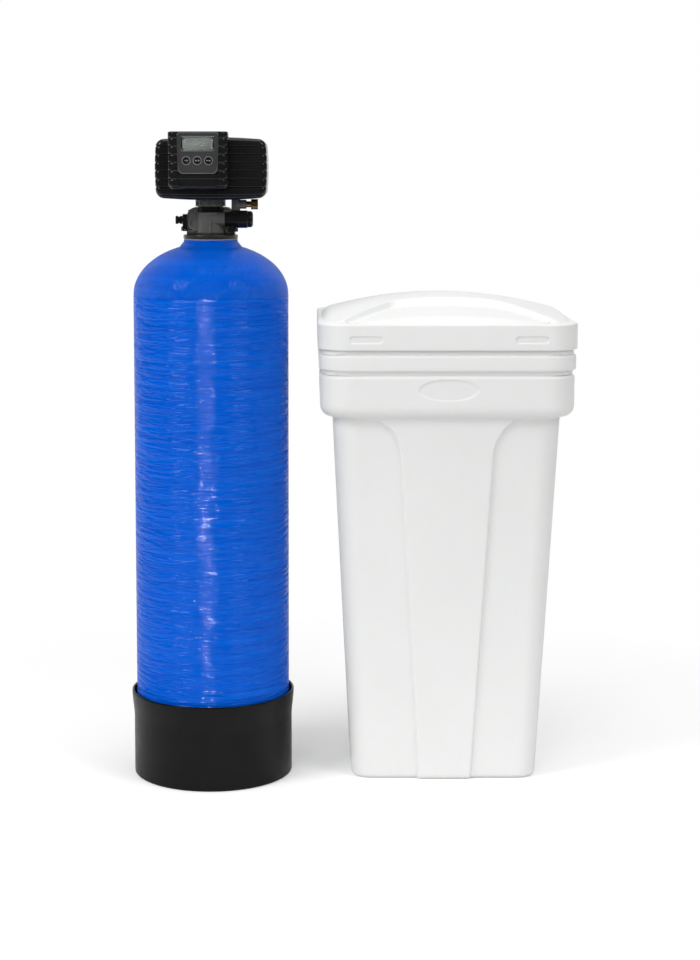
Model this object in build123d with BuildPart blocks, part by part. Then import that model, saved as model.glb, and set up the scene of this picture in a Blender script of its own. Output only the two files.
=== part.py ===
from build123d import *
import math
import os

# Water softener: a resin pressure vessel that carries a motor driven control valve,
# with a separate brine tank standing at its right.
# Origin: the vessel's axis on the floor. +X to the right, +Y to the back, +Z up. Millimetres.

# Shared clearances
bond_gap = 0.1
seat_gap = 0.3
slide_gap = 0.15
running_gap = 0.06
overrun = 2.0
match_tolerance = 0.01

# Pressure vessel: wound shell over a moulded liner
vessel_radius = 128.5
vessel_height = 898.0
dome_rise = 85.0
shoulder_drop = 90.0
neck_radius = 44.5
neck_wall = 2.5
neck_fillet = 5.0
shell_wall = 2.6
liner_wall = 4.0
insert_depth = 36.0
thread_radius = 36.1

# Boot under the vessel
boot_floor = 4.0
boot_wall = 4.0
boot_clearance = 0.5
boot_height = 142.0
boot_flare_height = 95.0
boot_flare = 3.5

# Filling and pipework inside the vessel
gravel_height = 92.0
resin_height = 560.0
riser_radius = 13.4
riser_wall = 2.6
lower_basket_radius = 36.0
lower_basket_height = 42.0
lower_basket_foot_radius = 12.0
lower_basket_foot_height = 7.0
basket_wall = 2.4
basket_slots = 20
basket_slot_width = 2.0
upper_basket_radius = 33.0
upper_basket_length = 40.0
upper_basket_slot_length = 26.0

# Valve body
gasket_thickness = 1.5
gasket_inset = 0.7
thread_length = 27.5
valve_neck_wall = 5.1
socket_wall = 3.3
socket_length = 20.0
socket_roof = 2.5
flange_radius = 45.0
flange_thickness = 6.5
flange_fillet = 1.5
barrel_radius = 23.4
barrel_height = 37.0
barrel_bore_radius = 19.5
barrel_floor = 3.0
barrel_fillet = 2.5
front_rib_width = 3.6
front_rib_height = 28.0
front_rib_reach = 2.4
port_block_half_width = 39.6
port_block_height = 45.0
port_block_front = 0.0
port_block_back = 44.0
port_block_corner = 16.0
side_boss_radius = 12.4
side_boss_x = -23.7
side_boss_rise = 19.0
side_boss_front = -10.0
side_dish_depth = 3.0
side_dish_wall = 2.6

# Piston, seals and plug
piston_radius = 11.0
piston_length = 10.0
piston_lift = 1.5
rod_radius = 3.0
seal_count = 5
seal_height = 5.0
plug_radius = 21.0
plug_height = 9.5
plug_spigot_length = 7.5
retainer_radius = 25.0
retainer_height = 10.5
retainer_neck_radius = 22.0
retainer_bore_radius = 8.0
retainer_pockets = 12
retainer_pocket_width = 8.6
retainer_pocket_height = 6.0
retainer_pocket_depth = 2.6

# Injector on the right of the valve
injector_y = -13.0
injector_rise = 25.5
injector_neck_radius = 11.5
injector_neck_start = 24.0
injector_radius = 14.5
injector_start = 43.7
injector_body_end = 61.6
injector_end = 70.4
injector_bore_radius = 9.0
injector_end_wall = 4.5
injector_collar_width = 2.4
injector_collars = 3
cap_radius = 13.4
cap_fillet = 4.5
cap_spigot_length = 9.0
nozzle_length = 12.0
nozzle_bore_radius = 1.1
injector_pad_half_depth = 8.0
injector_pad_start = 33.6
injector_pad_rise = 14.7
injector_plug_x = 37.0
injector_plug_across = 14.8
injector_plug_drop = 5.7
injector_plug_boss_radius = 6.4

# Brine valve and its brass fitting
brine_valve_x = 42.2
brine_valve_radius = 7.3
brine_valve_rise = 11.0
brine_valve_flute = 1.9
brine_valve_flute_depth = 1.6
brine_boss_drop = 14.0
brine_boss_radius = 7.4
brine_boss_end = 59.7
brine_stem_radius = 2.4
brine_stem_length = 38.0
brine_stem_travel = 4.0
brine_chamber_radius = 4.0
brine_chamber_depth = 15.0
brine_chamber_floor = 4.5
stem_spring_ratio = 2.0
stem_spring_radius = 4.4
stem_collar_height = 2.5
fitting_radius = 5.0
fitting_length = 7.6
fitting_root_radius = 4.0
fitting_root_length = 6.0
fitting_bore_radius = 2.6
nut_across = 15.4
nut_radius = 8.5
nut_length = 11.2
tube_bore_radius = 4.8

# Mixing valve on the left
mixing_y = 12.0
mixing_rise = 23.7
mixing_plate_thickness = 6.6
mixing_plate_half_depth = 16.0
mixing_plate_drop = 18.2
mixing_plate_rise = 9.7
mixing_plate_corner = 4.0
mixing_knob_radius = 6.7
mixing_knob_length = 11.2
mixing_knob_gap = 1.1
mixing_knob_waist = 1.4
mixing_knob_flutes = 10
mixing_knob_flute_radius = 0.9
mixing_stem_radius = 3.0
mixing_stem_depth = 22.0

# Inlet and outlet yoke, flow meter and drain
port_spacing = 38.0
port_rise = 22.0
socket_radius = 14.5
socket_depth = 30.0
pipe_thread_radius = 16.6
pipe_thread_length = 26.0
pipe_bore_radius = 12.0
yoke_spigot_length = 24.0
yoke_plate_thickness = 6.0
yoke_plate_drop = 18.0
yoke_plate_rise = 18.0
yoke_neck_length = 10.0
port_seal_width = 3.0
port_seal_depth = 1.3
clip_thickness = 3.0
clip_drop = 10.0
clip_rise = 10.0
clip_length = 10.0
clip_lip = 3.0
turbine_radius = 11.2
turbine_hub_radius = 3.2
turbine_length = 8.0
turbine_vanes = 6
turbine_vane_width = 1.4
turbine_axle_radius = 1.5
support_length = 3.0
support_arms = 3
support_arm_width = 2.2
drain_y = 22.0
drain_rise = 28.0
drain_radius = 9.0
drain_reach = 16.0
drain_flange_length = 4.0
drain_barb_radius = 6.4
drain_barb_length = 10.0
drain_barbs = 2
drain_barb_lip = 0.9
drain_bore_radius = 4.2
drain_port_depth = 5.0

# Head: frame, drive and back panel
retainer_neck_length = 7.0
frame_floor = 4.0
frame_left = -60.0
frame_right = 70.0
frame_front = -45.0
frame_back = 50.0
frame_corner = 6.0
web_front = 14.0
web_thickness = 4.0
web_left = -56.0
web_right = 66.0
web_height = 82.0
post_radius = 4.0
post_inset = 6.0
post_low_rise = 15.0
post_high_rise = 75.0
gear_rise = 46.0
gear_module = 1.0
gear_teeth = 60
pinion_teeth = 15
gear_thickness = 6.0
gear_front = 6.0
gear_hub_radius = 6.0
gear_rim_width = 5.0
gear_web_depth = 1.6
gear_axle_radius = 3.0
mesh_gap = 0.2
tooth_base_share = 0.605
tooth_height_share = 2.05
tooth_flank_angle = 75.0
crank_radius = 7.0
crank_pin_radius = 2.5
crank_pin_length = 9.5
cam_outer_radius = 24.0
cam_inner_radius = 20.0
cam_height = 2.0
cam_angle = 70.0
yoke_half_thickness = 3.0
yoke_side_wall = 3.4
yoke_end_wall = 3.6
yoke_slack = 1.9
motor_radius = 17.0
motor_length = 28.0
motor_boss_radius = 6.0
motor_shaft_radius = 2.0
motor_ear_width = 9.0
motor_ear_reach = 6.0
switch_left = -52.0
switch_right = -34.5
switch_drop = 9.0
switch_rise = 9.0
switch_thickness = 7.0
switch_lever_thickness = 0.8
panel_thickness = 2.5
gland_x = -50.0
gland_rise = 46.0
gland_radius = 7.0
gland_length = 12.0
gland_root_radius = 5.0
gland_bore_radius = 2.8
screw_radius = 1.6
screw_head_radius = 3.4
screw_head_height = 2.4
screw_depth = 9.0

# Head cover
cover_centre_x = 3.65
cover_half_width = 91.15
cover_side_bulge = 2.4
cover_height = 101.6
cover_drop = 6.6
cover_crown = 3.8
cover_corner = 14.0
cover_front = -62.0
cover_back = 58.0
cover_wall = 2.5
cover_front_fillet = 9.0
groove_first_rise = 21.0
groove_pitch = 13.15
groove_count = 6
groove_width = 1.5
groove_depth = 1.3
underside_left = -30.0
underside_right = 62.0
underside_front = -30.0
wire_window_inset = 14.0

# Display housing, faceplate, lens, buttons and board
display_left = -64.3
display_right = 32.6
display_rise = 18.0
display_height = 92.2
display_front = -90.0
display_wall = 2.5
display_side_fillet = 11.0
display_top_fillet = 3.0
display_low_fillet = 8.0
chin_inset = 14.0
chin_slant = 5.0
chin_low_rise = 2.6
chin_high_rise = 17.6
chin_depth = 1.6
plate_left = -49.5
plate_right = 18.0
plate_low_rise = 24.3
plate_height = 66.5
plate_taper = 1.6
plate_thickness = 3.0
plate_proud = 1.2
plate_rim = 2.0
plate_rim_height = 0.7
plate_low_corner = 9.0
plate_high_corner = 4.0
plate_ledge = 4.4
lens_left = -42.4
lens_right = 10.9
lens_rise = 36.3
lens_height = 23.9
lens_thickness = 1.4
lens_inset = 0.3
lens_ledge = 1.8
lens_corner = 1.5
module_thickness = 4.0
module_margin = 1.4
button_x_first = -34.3
button_spacing = 17.85
button_rise = 21.3
button_radius = 5.9
button_ring_radius = 6.9
button_ring_height = 0.5
button_proud = 0.9
button_length = 7.6
button_flange_radius = 7.3
button_flange_height = 1.2
button_travel = 1.0
board_thickness = 1.6
switch_button_radius = 2.2
switch_button_height = 2.6
chip_size = 12.0
chip_height = 2.2

# Brine tank
tank_x = 388.0
tank_y = 94.0
tank_wall = 4.5
foot_half = 154.0
foot_corner = 30.0
foot_fillet = 9.0
body_top_half = 186.0
body_top_corner = 38.0
body_height = 612.0
collar_half = 207.5
collar_corner = 46.0
collar_height = 69.6
collar_fillet = 20.0
lower_groove_half = 203.0
ring_rise = 7.4
ring_height = 26.0
ring_half = 209.5
ring_chamfer = 3.0
rim_half = 201.0
rim_height = 32.0
panel_foot_half = 43.0
panel_top_half = 75.0
panel_flare_drop = 55.0
panel_flare_radius = 62.0
panel_flare_angle = 80.0
panel_proud = 6.0
oval_half_width = 47.2
oval_half_height = 17.1
oval_rise = 47.0
oval_depth = 1.6
overflow_depth = 27.0
overflow_x = 263.0
overflow_hole_radius = 10.5
line_hole_rise = 43.0
line_hole_x = 460.0
line_hole_radius = 8.0

# Brine tank lid
lid_overlap = 24.0
lid_band_height = 43.0
lid_half = 211.5
lid_corner = 50.0
lid_chamfer = 3.0
lid_wall = 4.0
lid_step_rise = 14.0
dome_half = 207.5
dome_height = 86.0
dome_radius = 950.0
dome_fillet = 18.0
scoop_back_half = 68.0
scoop_front_half = 187.0
scoop_back_y = -18.0
scoop_front_y = -132.0
scoop_depth = 11.3
scoop_radius = 1300.0
scoop_taper = 38.0
lid_slot_length = 57.0
lid_slot_height = 11.6
lid_slot_x = 137.0
lid_slot_rise = 19.0
lid_slot_depth = 2.0

# Brine well, float, safety valve and salt grid
well_x = 473.0
well_y = 179.0
well_radius = 51.0
well_wall = 3.0
well_depth = 47.0
well_slot_width = 4.0
well_slot_height = 40.0
well_slots = 6
well_cap_radius = 54.0
well_cap_skirt = 16.0
well_cap_thickness = 3.0
grid_height = 118.0
grid_thickness = 5.0
grid_margin = 3.0
grid_hole_radius = 5.0
grid_hole_pitch = 24.0
grid_hole_count = 10
grid_leg_radius = 16.0
grid_leg_wall = 2.5
grid_leg_offset = 92.0
float_radius = 24.0
float_height = 52.0
float_z = 220.0
float_rod_radius = 2.5
float_rod_gap = 2.0
float_rod_high = 560.0
float_travel = 60.0
safety_radius = 19.0
safety_low = 30.0
safety_high = 122.0
safety_fillet = 5.0
safety_bore_radius = 8.0
safety_guide_grip = 30.0
overflow_tube_radius = 10.0
overflow_bore_radius = 7.5
overflow_flange_radius = 16.0
overflow_flange_height = 4.0
overflow_reach = 26.0
overflow_drop = 30.0
overflow_root = 20.0
grommet_flange_radius = 12.0
grommet_flange_height = 3.0
grommet_root = 8.0
grommet_bore_radius = 4.8
overflow_nut_across = 32.0
overflow_nut_height = 6.0

# Heights that follow from the values above, from the floor up
shoulder_height = vessel_height - shoulder_drop
flange_low = vessel_height + gasket_thickness
flange_top = flange_low + flange_thickness
barrel_top = flange_top + barrel_height
plug_top = barrel_top + plug_height
retainer_top = plug_top + retainer_height
head_base_height = retainer_top + retainer_neck_length
side_boss_z = flange_top + side_boss_rise
injector_z = flange_top + injector_rise
injector_pad_top = injector_z + injector_pad_rise
brine_valve_top = head_base_height + brine_valve_rise
brine_boss_z = head_base_height - brine_boss_drop
mixing_z = flange_top + mixing_rise
mixing_plate_low = mixing_z - mixing_plate_drop
mixing_plate_high = mixing_z + mixing_plate_rise
port_z = flange_top + port_rise
yoke_plate_low = port_z - yoke_plate_drop
yoke_plate_high = port_z + yoke_plate_rise
clip_low = port_z - clip_drop
clip_high = port_z + clip_rise
drain_z = flange_top + drain_rise
web_top = head_base_height + web_height
post_low = head_base_height + post_low_rise
post_high = head_base_height + post_high_rise
gear_z = head_base_height + gear_rise
switch_low = gear_z - switch_drop
switch_high = gear_z + switch_rise
gland_z = head_base_height + gland_rise
cover_bottom = head_base_height - cover_drop
cover_top = cover_bottom + cover_height
groove_first = cover_bottom + groove_first_rise
display_low = cover_bottom + display_rise
display_high = display_low + display_height
chin_low = display_low + chin_low_rise
chin_high = display_low + chin_high_rise
plate_low = display_low + plate_low_rise
plate_high = plate_low + plate_height
lens_low = plate_low + lens_rise
lens_high = lens_low + lens_height
button_z = plate_low + button_rise
collar_top = body_height + collar_height
ring_low = collar_top + ring_rise
ring_high = ring_low + ring_height
rim_top = ring_high + rim_height
panel_straight_height = body_height - panel_flare_drop
oval_z = body_height + oval_rise
overflow_z = body_height - overflow_depth
line_hole_z = body_height + line_hole_rise
lid_low = rim_top - lid_overlap
lid_band_top = lid_low + lid_band_height
lid_step_height = lid_low + lid_step_rise
dome_top = lid_low + dome_height
lid_slot_z = lid_low + lid_slot_rise
well_height = rim_top - well_depth

# Sizes and places that follow from them
lower_dome_height = boot_floor + dome_rise
shell_inner_radius = vessel_radius - shell_wall
shell_inner_rise = dome_rise - shell_wall
liner_radius = shell_inner_radius - bond_gap
liner_rise = shell_inner_rise - bond_gap
liner_inner_radius = liner_radius - liner_wall
liner_inner_rise = liner_rise - liner_wall
neck_bore_radius = neck_radius - neck_wall
insert_radius = neck_bore_radius - bond_gap
insert_low = vessel_height - insert_depth
bore_floor = flange_top + barrel_floor
thread_low = flange_low - thread_length
valve_neck_bore = thread_radius - valve_neck_wall
riser_bore_radius = riser_radius + seat_gap
riser_top = flange_top - socket_roof - seat_gap
pitch_radius = gear_module * gear_teeth / 2
pinion_pitch_radius = gear_module * pinion_teeth / 2
pinion_x = pitch_radius + pinion_pitch_radius + mesh_gap
piston_low = bore_floor + piston_lift
piston_high = piston_low + piston_length
cover_mid_z = (cover_top + cover_bottom) / 2
groove_heights = [groove_first + i * groove_pitch for i in range(groove_count)]
button_places = [button_x_first + i * button_spacing for i in range(3)]
plate_back = display_front - plate_proud + plate_thickness
plate_face = display_front - plate_proud
well_foot = tank_wall + seat_gap
lid_under = rim_top + seat_gap
mixing_face = -port_block_half_width - mixing_plate_thickness
mixing_screw_places = [
    (mixing_y + side * (mixing_plate_half_depth - mixing_plate_corner),
     mixing_plate_low + mixing_plate_corner) for side in (-1, 1)
]
clip_x = port_block_half_width + bond_gap
clip_face = clip_x + clip_thickness
clip_screw_y = port_block_back - clip_length / 2
clip_screw_z = (clip_low + clip_high) / 2
screw_hole_radius = screw_radius + bond_gap
stem_spring_length = stem_spring_ratio * brine_stem_travel
float_rod_low = safety_high + float_rod_gap
guide_length = float_travel + safety_guide_grip

UP = (0, 0, 1)
DOWN = (0, 0, -1)
RIGHT = (1, 0, 0)
LEFT = (-1, 0, 0)
BACK = (0, 1, 0)
FRONT = (0, -1, 0)


def rod(start, direction, radius, length, mode=Mode.ADD):
    """A round bar, or a round hole, from a point along a direction."""
    with Locations(Plane(origin=start, z_dir=direction)):
        Cylinder(radius, length, align=(Align.CENTER, Align.CENTER, Align.MIN), mode=mode)


def block(low, high, mode=Mode.ADD):
    """A box between its lowest and its highest corner."""
    size = [b - a for a, b in zip(low, high)]
    middle = [(a + b) / 2 for a, b in zip(low, high)]
    with Locations(tuple(middle)):
        Box(*size, mode=mode)


def front_plane(x, y, z):
    """A plane that faces the front, with +X to its right and +Z up."""
    return Plane(origin=(x, y, z), x_dir=RIGHT, z_dir=FRONT)


def capsule_section(radius, rise, low, high, mode=Mode.ADD):
    """The section of a vessel: a straight side with an elliptical end at both levels."""
    with Locations((0, low), (0, high)):
        Ellipse(radius, rise, mode=mode)
    with Locations((0, (low + high) / 2)):
        Rectangle(2 * radius, high - low, mode=mode)


def keep_right_half():
    """Leaves the half of a section that is turned about the vessel's axis."""
    with Locations((-vessel_radius, vessel_height / 2)):
        Rectangle(2 * vessel_radius, 2 * vessel_height, mode=Mode.SUBTRACT)


def floor_at(radius):
    """Height of the liner's inner floor at a distance from the axis."""
    return lower_dome_height - liner_inner_rise * math.sqrt(1 - (radius / liner_inner_radius) ** 2)


def cover_outline(y, inset=0.0):
    """The head cover's outline from the front, drawn in by the inset."""
    half = cover_half_width - inset
    side = half - cover_side_bulge
    top = cover_top - inset
    low = cover_bottom + inset
    with BuildSketch(front_plane(cover_centre_x, y, 0)) as outline:
        with BuildLine():
            ThreePointArc((-side, low + cover_crown), (0, low), (side, low + cover_crown))
            ThreePointArc((side, low + cover_crown), (half, cover_mid_z), (side, top - cover_crown))
            ThreePointArc((side, top - cover_crown), (0, top), (-side, top - cover_crown))
            ThreePointArc((-side, top - cover_crown), (-half, cover_mid_z), (-side, low + cover_crown))
        make_face()
        fillet(outline.vertices(), cover_corner - inset)
    return outline.sketch


def gear_sketch(centre, y, teeth):
    """A toothed wheel's outline with its first tooth towards +X."""
    radius = gear_module * teeth / 2
    height = tooth_height_share * gear_module
    width = tooth_base_share * math.pi * gear_module
    with BuildSketch(front_plane(centre[0], y, centre[1])) as outline:
        Circle(radius - height / 2)
        with PolarLocations(radius, teeth):
            Trapezoid(width, height + mesh_gap, tooth_flank_angle, rotation=-90)
    return outline.sketch


def hexagon_bar(start, direction, across, length, mode=Mode.ADD):
    """A hexagonal bar, measured across its flats."""
    with BuildSketch(Plane(origin=start, z_dir=direction)) as outline:
        RegularPolygon(across / 2, 6, major_radius=False)
    extrude(outline.sketch, amount=length, mode=mode)


def screw(start, direction, depth=screw_depth):
    """A screw whose head stands on a face at the start, with its shank behind it."""
    away = tuple(-c for c in direction)
    rod(start, away, screw_head_radius, screw_head_height)
    rod(start, direction, screw_radius, depth)
    top = tuple(s + a * screw_head_height for s, a in zip(start, away))
    slot_depth = screw_head_height / 3
    with Locations(Plane(origin=top, z_dir=direction)):
        Box(screw_head_radius, slot_depth, 2 * slot_depth, mode=Mode.SUBTRACT)


def save(piece, name):
    """Names a finished piece and writes its STEP file."""
    piece.part.label = name
    export_step(piece.part, f"parts/{name}.step")


os.makedirs("parts", exist_ok=True)

# Boot: a cup whose wall flares near its rim
boot_inner = vessel_radius + boot_clearance
boot_outer = boot_inner + boot_wall
with BuildPart() as vessel_boot:
    with BuildSketch(Plane.XZ):
        with BuildLine():
            Polyline(
                (0, 0), (boot_outer, 0), (boot_outer, boot_flare_height),
                (boot_outer + boot_flare, boot_height), (boot_inner + boot_flare, boot_height),
                (boot_inner, boot_flare_height), (boot_inner, boot_floor), (0, boot_floor), (0, 0),
            )
        make_face()
    revolve(axis=Axis.Z)
save(vessel_boot, "vessel_boot")

# Wound shell
with BuildPart() as vessel_shell:
    with BuildSketch(Plane.XZ):
        capsule_section(vessel_radius, dome_rise, lower_dome_height, shoulder_height)
        with Locations((0, (shoulder_height + vessel_height) / 2)):
            Rectangle(2 * neck_radius, vessel_height - shoulder_height)
        capsule_section(
            shell_inner_radius, shell_inner_rise, lower_dome_height, shoulder_height, Mode.SUBTRACT
        )
        with Locations((0, (shoulder_height + vessel_height) / 2)):
            Rectangle(2 * neck_bore_radius, vessel_height - shoulder_height, mode=Mode.SUBTRACT)
        keep_right_half()
    revolve(axis=Axis.Z)
    neck_edges = vessel_shell.edges().filter_by(GeomType.CIRCLE).filter_by(
        lambda e: abs(e.radius - neck_radius) < match_tolerance
    )
    fillet(neck_edges.sort_by(Axis.Z)[0], neck_fillet)
save(vessel_shell, "vessel_shell")

# Liner with its threaded neck insert
with BuildPart() as vessel_liner:
    with BuildSketch(Plane.XZ):
        capsule_section(liner_radius, liner_rise, lower_dome_height, shoulder_height)
        capsule_section(
            liner_inner_radius, liner_inner_rise, lower_dome_height, shoulder_height, Mode.SUBTRACT
        )
        with Locations((0, (shoulder_height + vessel_height) / 2)):
            Rectangle(2 * neck_bore_radius, vessel_height - shoulder_height, mode=Mode.SUBTRACT)
        keep_right_half()
    revolve(axis=Axis.Z)
save(vessel_liner, "vessel_liner")

with BuildPart() as neck_insert:
    rod((0, 0, insert_low), UP, insert_radius, insert_depth)
    rod((0, 0, insert_low), UP, thread_radius + seat_gap, insert_depth, Mode.SUBTRACT)
save(neck_insert, "neck_insert")

with BuildPart() as neck_gasket:
    rod((0, 0, vessel_height), UP, neck_radius - gasket_inset, gasket_thickness)
    rod((0, 0, vessel_height), UP, thread_radius + seat_gap, gasket_thickness, Mode.SUBTRACT)
save(neck_gasket, "neck_gasket")

# Bottom basket, standing on the liner's floor, and the riser tube in it
basket_foot = floor_at(lower_basket_foot_radius) + seat_gap
basket_low = basket_foot + lower_basket_foot_height
riser_low = basket_low + basket_wall + seat_gap
with BuildPart() as bottom_basket:
    rod((0, 0, basket_foot), UP, lower_basket_foot_radius, lower_basket_foot_height)
    rod((0, 0, basket_low), UP, lower_basket_radius, lower_basket_height)
    rod((0, 0, basket_low + basket_wall), UP, lower_basket_radius - basket_wall,
        lower_basket_height - 2 * basket_wall, Mode.SUBTRACT)
    rod((0, 0, basket_low + basket_wall), UP, riser_radius + seat_gap, lower_basket_height,
        Mode.SUBTRACT)
    slot_z = basket_low + lower_basket_height / 2
    with PolarLocations(lower_basket_radius, basket_slots):
        with Locations((0, 0, slot_z)):
            Box(3 * basket_wall, basket_slot_width, lower_basket_height - 4 * basket_wall,
                mode=Mode.SUBTRACT)
save(bottom_basket, "bottom_basket")

with BuildPart() as riser_tube:
    rod((0, 0, riser_low), UP, riser_radius, riser_top - riser_low)
    rod((0, 0, riser_low), UP, riser_radius - riser_wall, riser_top - riser_low, Mode.SUBTRACT)
    with Locations((0, 0, riser_low)):
        Box(3 * riser_radius, riser_wall, 3 * riser_wall, mode=Mode.SUBTRACT)
save(riser_tube, "riser_tube")

# Gravel and resin round the riser
bed_radius = liner_inner_radius - seat_gap
bed_rise = liner_inner_rise - seat_gap
with BuildPart() as gravel_bed:
    with BuildSketch(Plane.XZ):
        capsule_section(bed_radius, bed_rise, lower_dome_height, shoulder_height)
        with Locations((0, gravel_height / 2)):
            Rectangle(2 * vessel_radius, gravel_height, mode=Mode.INTERSECT)
        keep_right_half()
    revolve(axis=Axis.Z)
    rod((0, 0, 0), UP, lower_basket_radius + seat_gap, gravel_height, Mode.SUBTRACT)
save(gravel_bed, "gravel_bed")

resin_low = gravel_height + seat_gap
with BuildPart() as resin_bed:
    rod((0, 0, resin_low), UP, bed_radius, resin_height - resin_low)
    rod((0, 0, resin_low), UP, riser_radius + seat_gap, resin_height - resin_low, Mode.SUBTRACT)
save(resin_bed, "resin_bed")

# Top basket, held in the valve's neck
upper_collar_radius = valve_neck_bore - seat_gap
upper_basket_top = thread_low - seat_gap
upper_basket_low = upper_basket_top - upper_basket_length
upper_collar_top = thread_low + 4 * basket_wall
with BuildPart() as top_basket:
    rod((0, 0, upper_basket_low), UP, upper_basket_radius, upper_basket_length)
    rod((0, 0, upper_basket_top), UP, upper_collar_radius, upper_collar_top - upper_basket_top)
    rod((0, 0, upper_basket_low + basket_wall), UP, upper_collar_radius - basket_wall,
        upper_collar_top - upper_basket_low, Mode.SUBTRACT)
    rod((0, 0, upper_basket_low), UP, riser_radius + seat_gap, basket_wall, Mode.SUBTRACT)
    slot_z = upper_basket_low + upper_basket_length / 2
    with PolarLocations(upper_basket_radius, basket_slots):
        with Locations((0, 0, slot_z)):
            Box(4 * basket_wall, basket_slot_width, upper_basket_slot_length, mode=Mode.SUBTRACT)
save(top_basket, "top_basket")

# Valve body: threaded neck, flange, piston barrel and the block for the ports
port_places = [-port_spacing / 2, port_spacing / 2]
mixing_bore_radius = mixing_stem_radius + running_gap
with BuildPart() as valve_body:
    rod((0, 0, flange_low), UP, flange_radius, flange_thickness)
    fillet(valve_body.edges().group_by(Axis.Z)[-1], flange_fillet)
    rod((0, 0, flange_top - flange_fillet), UP, barrel_radius, barrel_height + flange_fillet)
    fillet(valve_body.edges().group_by(Axis.Z)[-1], barrel_fillet)
    with BuildSketch(front_plane(0, port_block_back, flange_top)):
        with BuildLine():
            Line((-port_block_half_width, -flange_fillet), (port_block_half_width, -flange_fillet))
            Line((port_block_half_width, -flange_fillet),
                 (port_block_half_width, port_block_height - port_block_corner))
            RadiusArc((port_block_half_width, port_block_height - port_block_corner),
                      (port_block_half_width - port_block_corner, port_block_height),
                      -port_block_corner)
            Line((port_block_half_width - port_block_corner, port_block_height),
                 (port_block_corner - port_block_half_width, port_block_height))
            RadiusArc((port_block_corner - port_block_half_width, port_block_height),
                      (-port_block_half_width, port_block_height - port_block_corner),
                      -port_block_corner)
            Line((-port_block_half_width, port_block_height - port_block_corner),
                 (-port_block_half_width, -flange_fillet))
        make_face()
    extrude(amount=port_block_back - port_block_front)
    rod((side_boss_x, port_block_front, side_boss_z), FRONT, side_boss_radius,
        port_block_front - side_boss_front)
    rod((side_boss_x, side_boss_front, side_boss_z), BACK, side_boss_radius - side_dish_wall,
        side_dish_depth, Mode.SUBTRACT)
    rod((0, injector_y, injector_z), RIGHT, injector_neck_radius, injector_neck_start)
    block((-front_rib_width / 2, -barrel_radius - front_rib_reach, flange_top - flange_fillet),
          (front_rib_width / 2, 0, flange_top + front_rib_height))
    rod((0, 0, thread_low), UP, thread_radius, thread_length)
    rod((0, 0, thread_low), UP, valve_neck_bore, thread_length - socket_roof, Mode.SUBTRACT)
    rod((0, 0, flange_low - socket_length), UP, riser_bore_radius + socket_wall, socket_length)
    rod((0, 0, flange_low - socket_length), UP, riser_bore_radius,
        riser_top + seat_gap - flange_low + socket_length, Mode.SUBTRACT)
    rod((0, 0, bore_floor), UP, barrel_bore_radius, barrel_top - bore_floor, Mode.SUBTRACT)
    rod((0, 0, barrel_top), UP, plug_radius + seat_gap, port_block_height, Mode.SUBTRACT)
    for x in port_places:
        rod((x, port_block_back, port_z), FRONT, socket_radius, socket_depth, Mode.SUBTRACT)
    rod((0, injector_y, injector_z), RIGHT, drain_bore_radius, injector_neck_start, Mode.SUBTRACT)
    rod((-port_block_half_width, mixing_y, mixing_z), RIGHT, mixing_bore_radius,
        mixing_stem_depth, Mode.SUBTRACT)
    rod((port_block_half_width, drain_y, drain_z), LEFT, drain_bore_radius, drain_port_depth,
        Mode.SUBTRACT)
    for y, z in mixing_screw_places:
        rod((-port_block_half_width, y, z), RIGHT, screw_hole_radius, screw_depth, Mode.SUBTRACT)
    for side, inwards in ((-1, RIGHT), (1, LEFT)):
        rod((side * port_block_half_width, clip_screw_y, clip_screw_z), inwards,
            screw_hole_radius, screw_depth / 3, Mode.SUBTRACT)
save(valve_body, "valve_body")

# Seals and spacers stacked round the piston
seal_pitch = seal_height + bond_gap
with BuildPart() as piston_seals:
    for i in range(seal_count):
        low = bore_floor + seat_gap + i * seal_pitch
        rod((0, 0, low), UP, barrel_bore_radius - seat_gap, seal_height)
    rod((0, 0, bore_floor), UP, piston_radius + seat_gap, barrel_height, Mode.SUBTRACT)
save(piston_seals, "piston_seals")

# Plug over the barrel, held down by its ring
plug_spigot_low = barrel_top - plug_spigot_length
with BuildPart() as end_plug:
    rod((0, 0, barrel_top), UP, plug_radius, plug_height)
    rod((0, 0, plug_spigot_low), UP, barrel_bore_radius - seat_gap, plug_spigot_length)
    rod((0, 0, plug_spigot_low), UP, rod_radius + running_gap, plug_top - plug_spigot_low,
        Mode.SUBTRACT)
save(end_plug, "end_plug")

with BuildPart() as plug_retainer:
    rod((0, 0, plug_top), UP, retainer_radius, retainer_height)
    rod((0, 0, retainer_top), UP, retainer_neck_radius, head_base_height - retainer_top)
    with PolarLocations(retainer_radius, retainer_pockets):
        with Locations((0, 0, plug_top + retainer_height / 2)):
            Box(2 * retainer_pocket_depth, retainer_pocket_width, retainer_pocket_height,
                mode=Mode.SUBTRACT)
    rod((0, 0, plug_top), UP, retainer_bore_radius, head_base_height - plug_top, Mode.SUBTRACT)
save(plug_retainer, "plug_retainer")

# Piston, rod and slotted yoke that the crank pin moves
yoke_z = gear_z - crank_radius
yoke_slot_half_width = crank_radius + crank_pin_radius + seat_gap
yoke_slot_half_height = crank_pin_radius + yoke_slack
yoke_half_width = yoke_slot_half_width + yoke_end_wall
yoke_half_height = yoke_slot_half_height + yoke_side_wall
with BuildPart() as piston:
    rod((0, 0, piston_low), UP, piston_radius, piston_length)
    rod((0, 0, piston_high), UP, rod_radius, yoke_z - piston_high)
    block((-yoke_half_width, -yoke_half_thickness, yoke_z - yoke_half_height),
          (yoke_half_width, yoke_half_thickness, yoke_z + yoke_half_height))
    block((-yoke_slot_half_width, -yoke_half_thickness, yoke_z - yoke_slot_half_height),
          (yoke_slot_half_width, yoke_half_thickness, yoke_z + yoke_slot_half_height),
          Mode.SUBTRACT)
save(piston, "piston")

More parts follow.
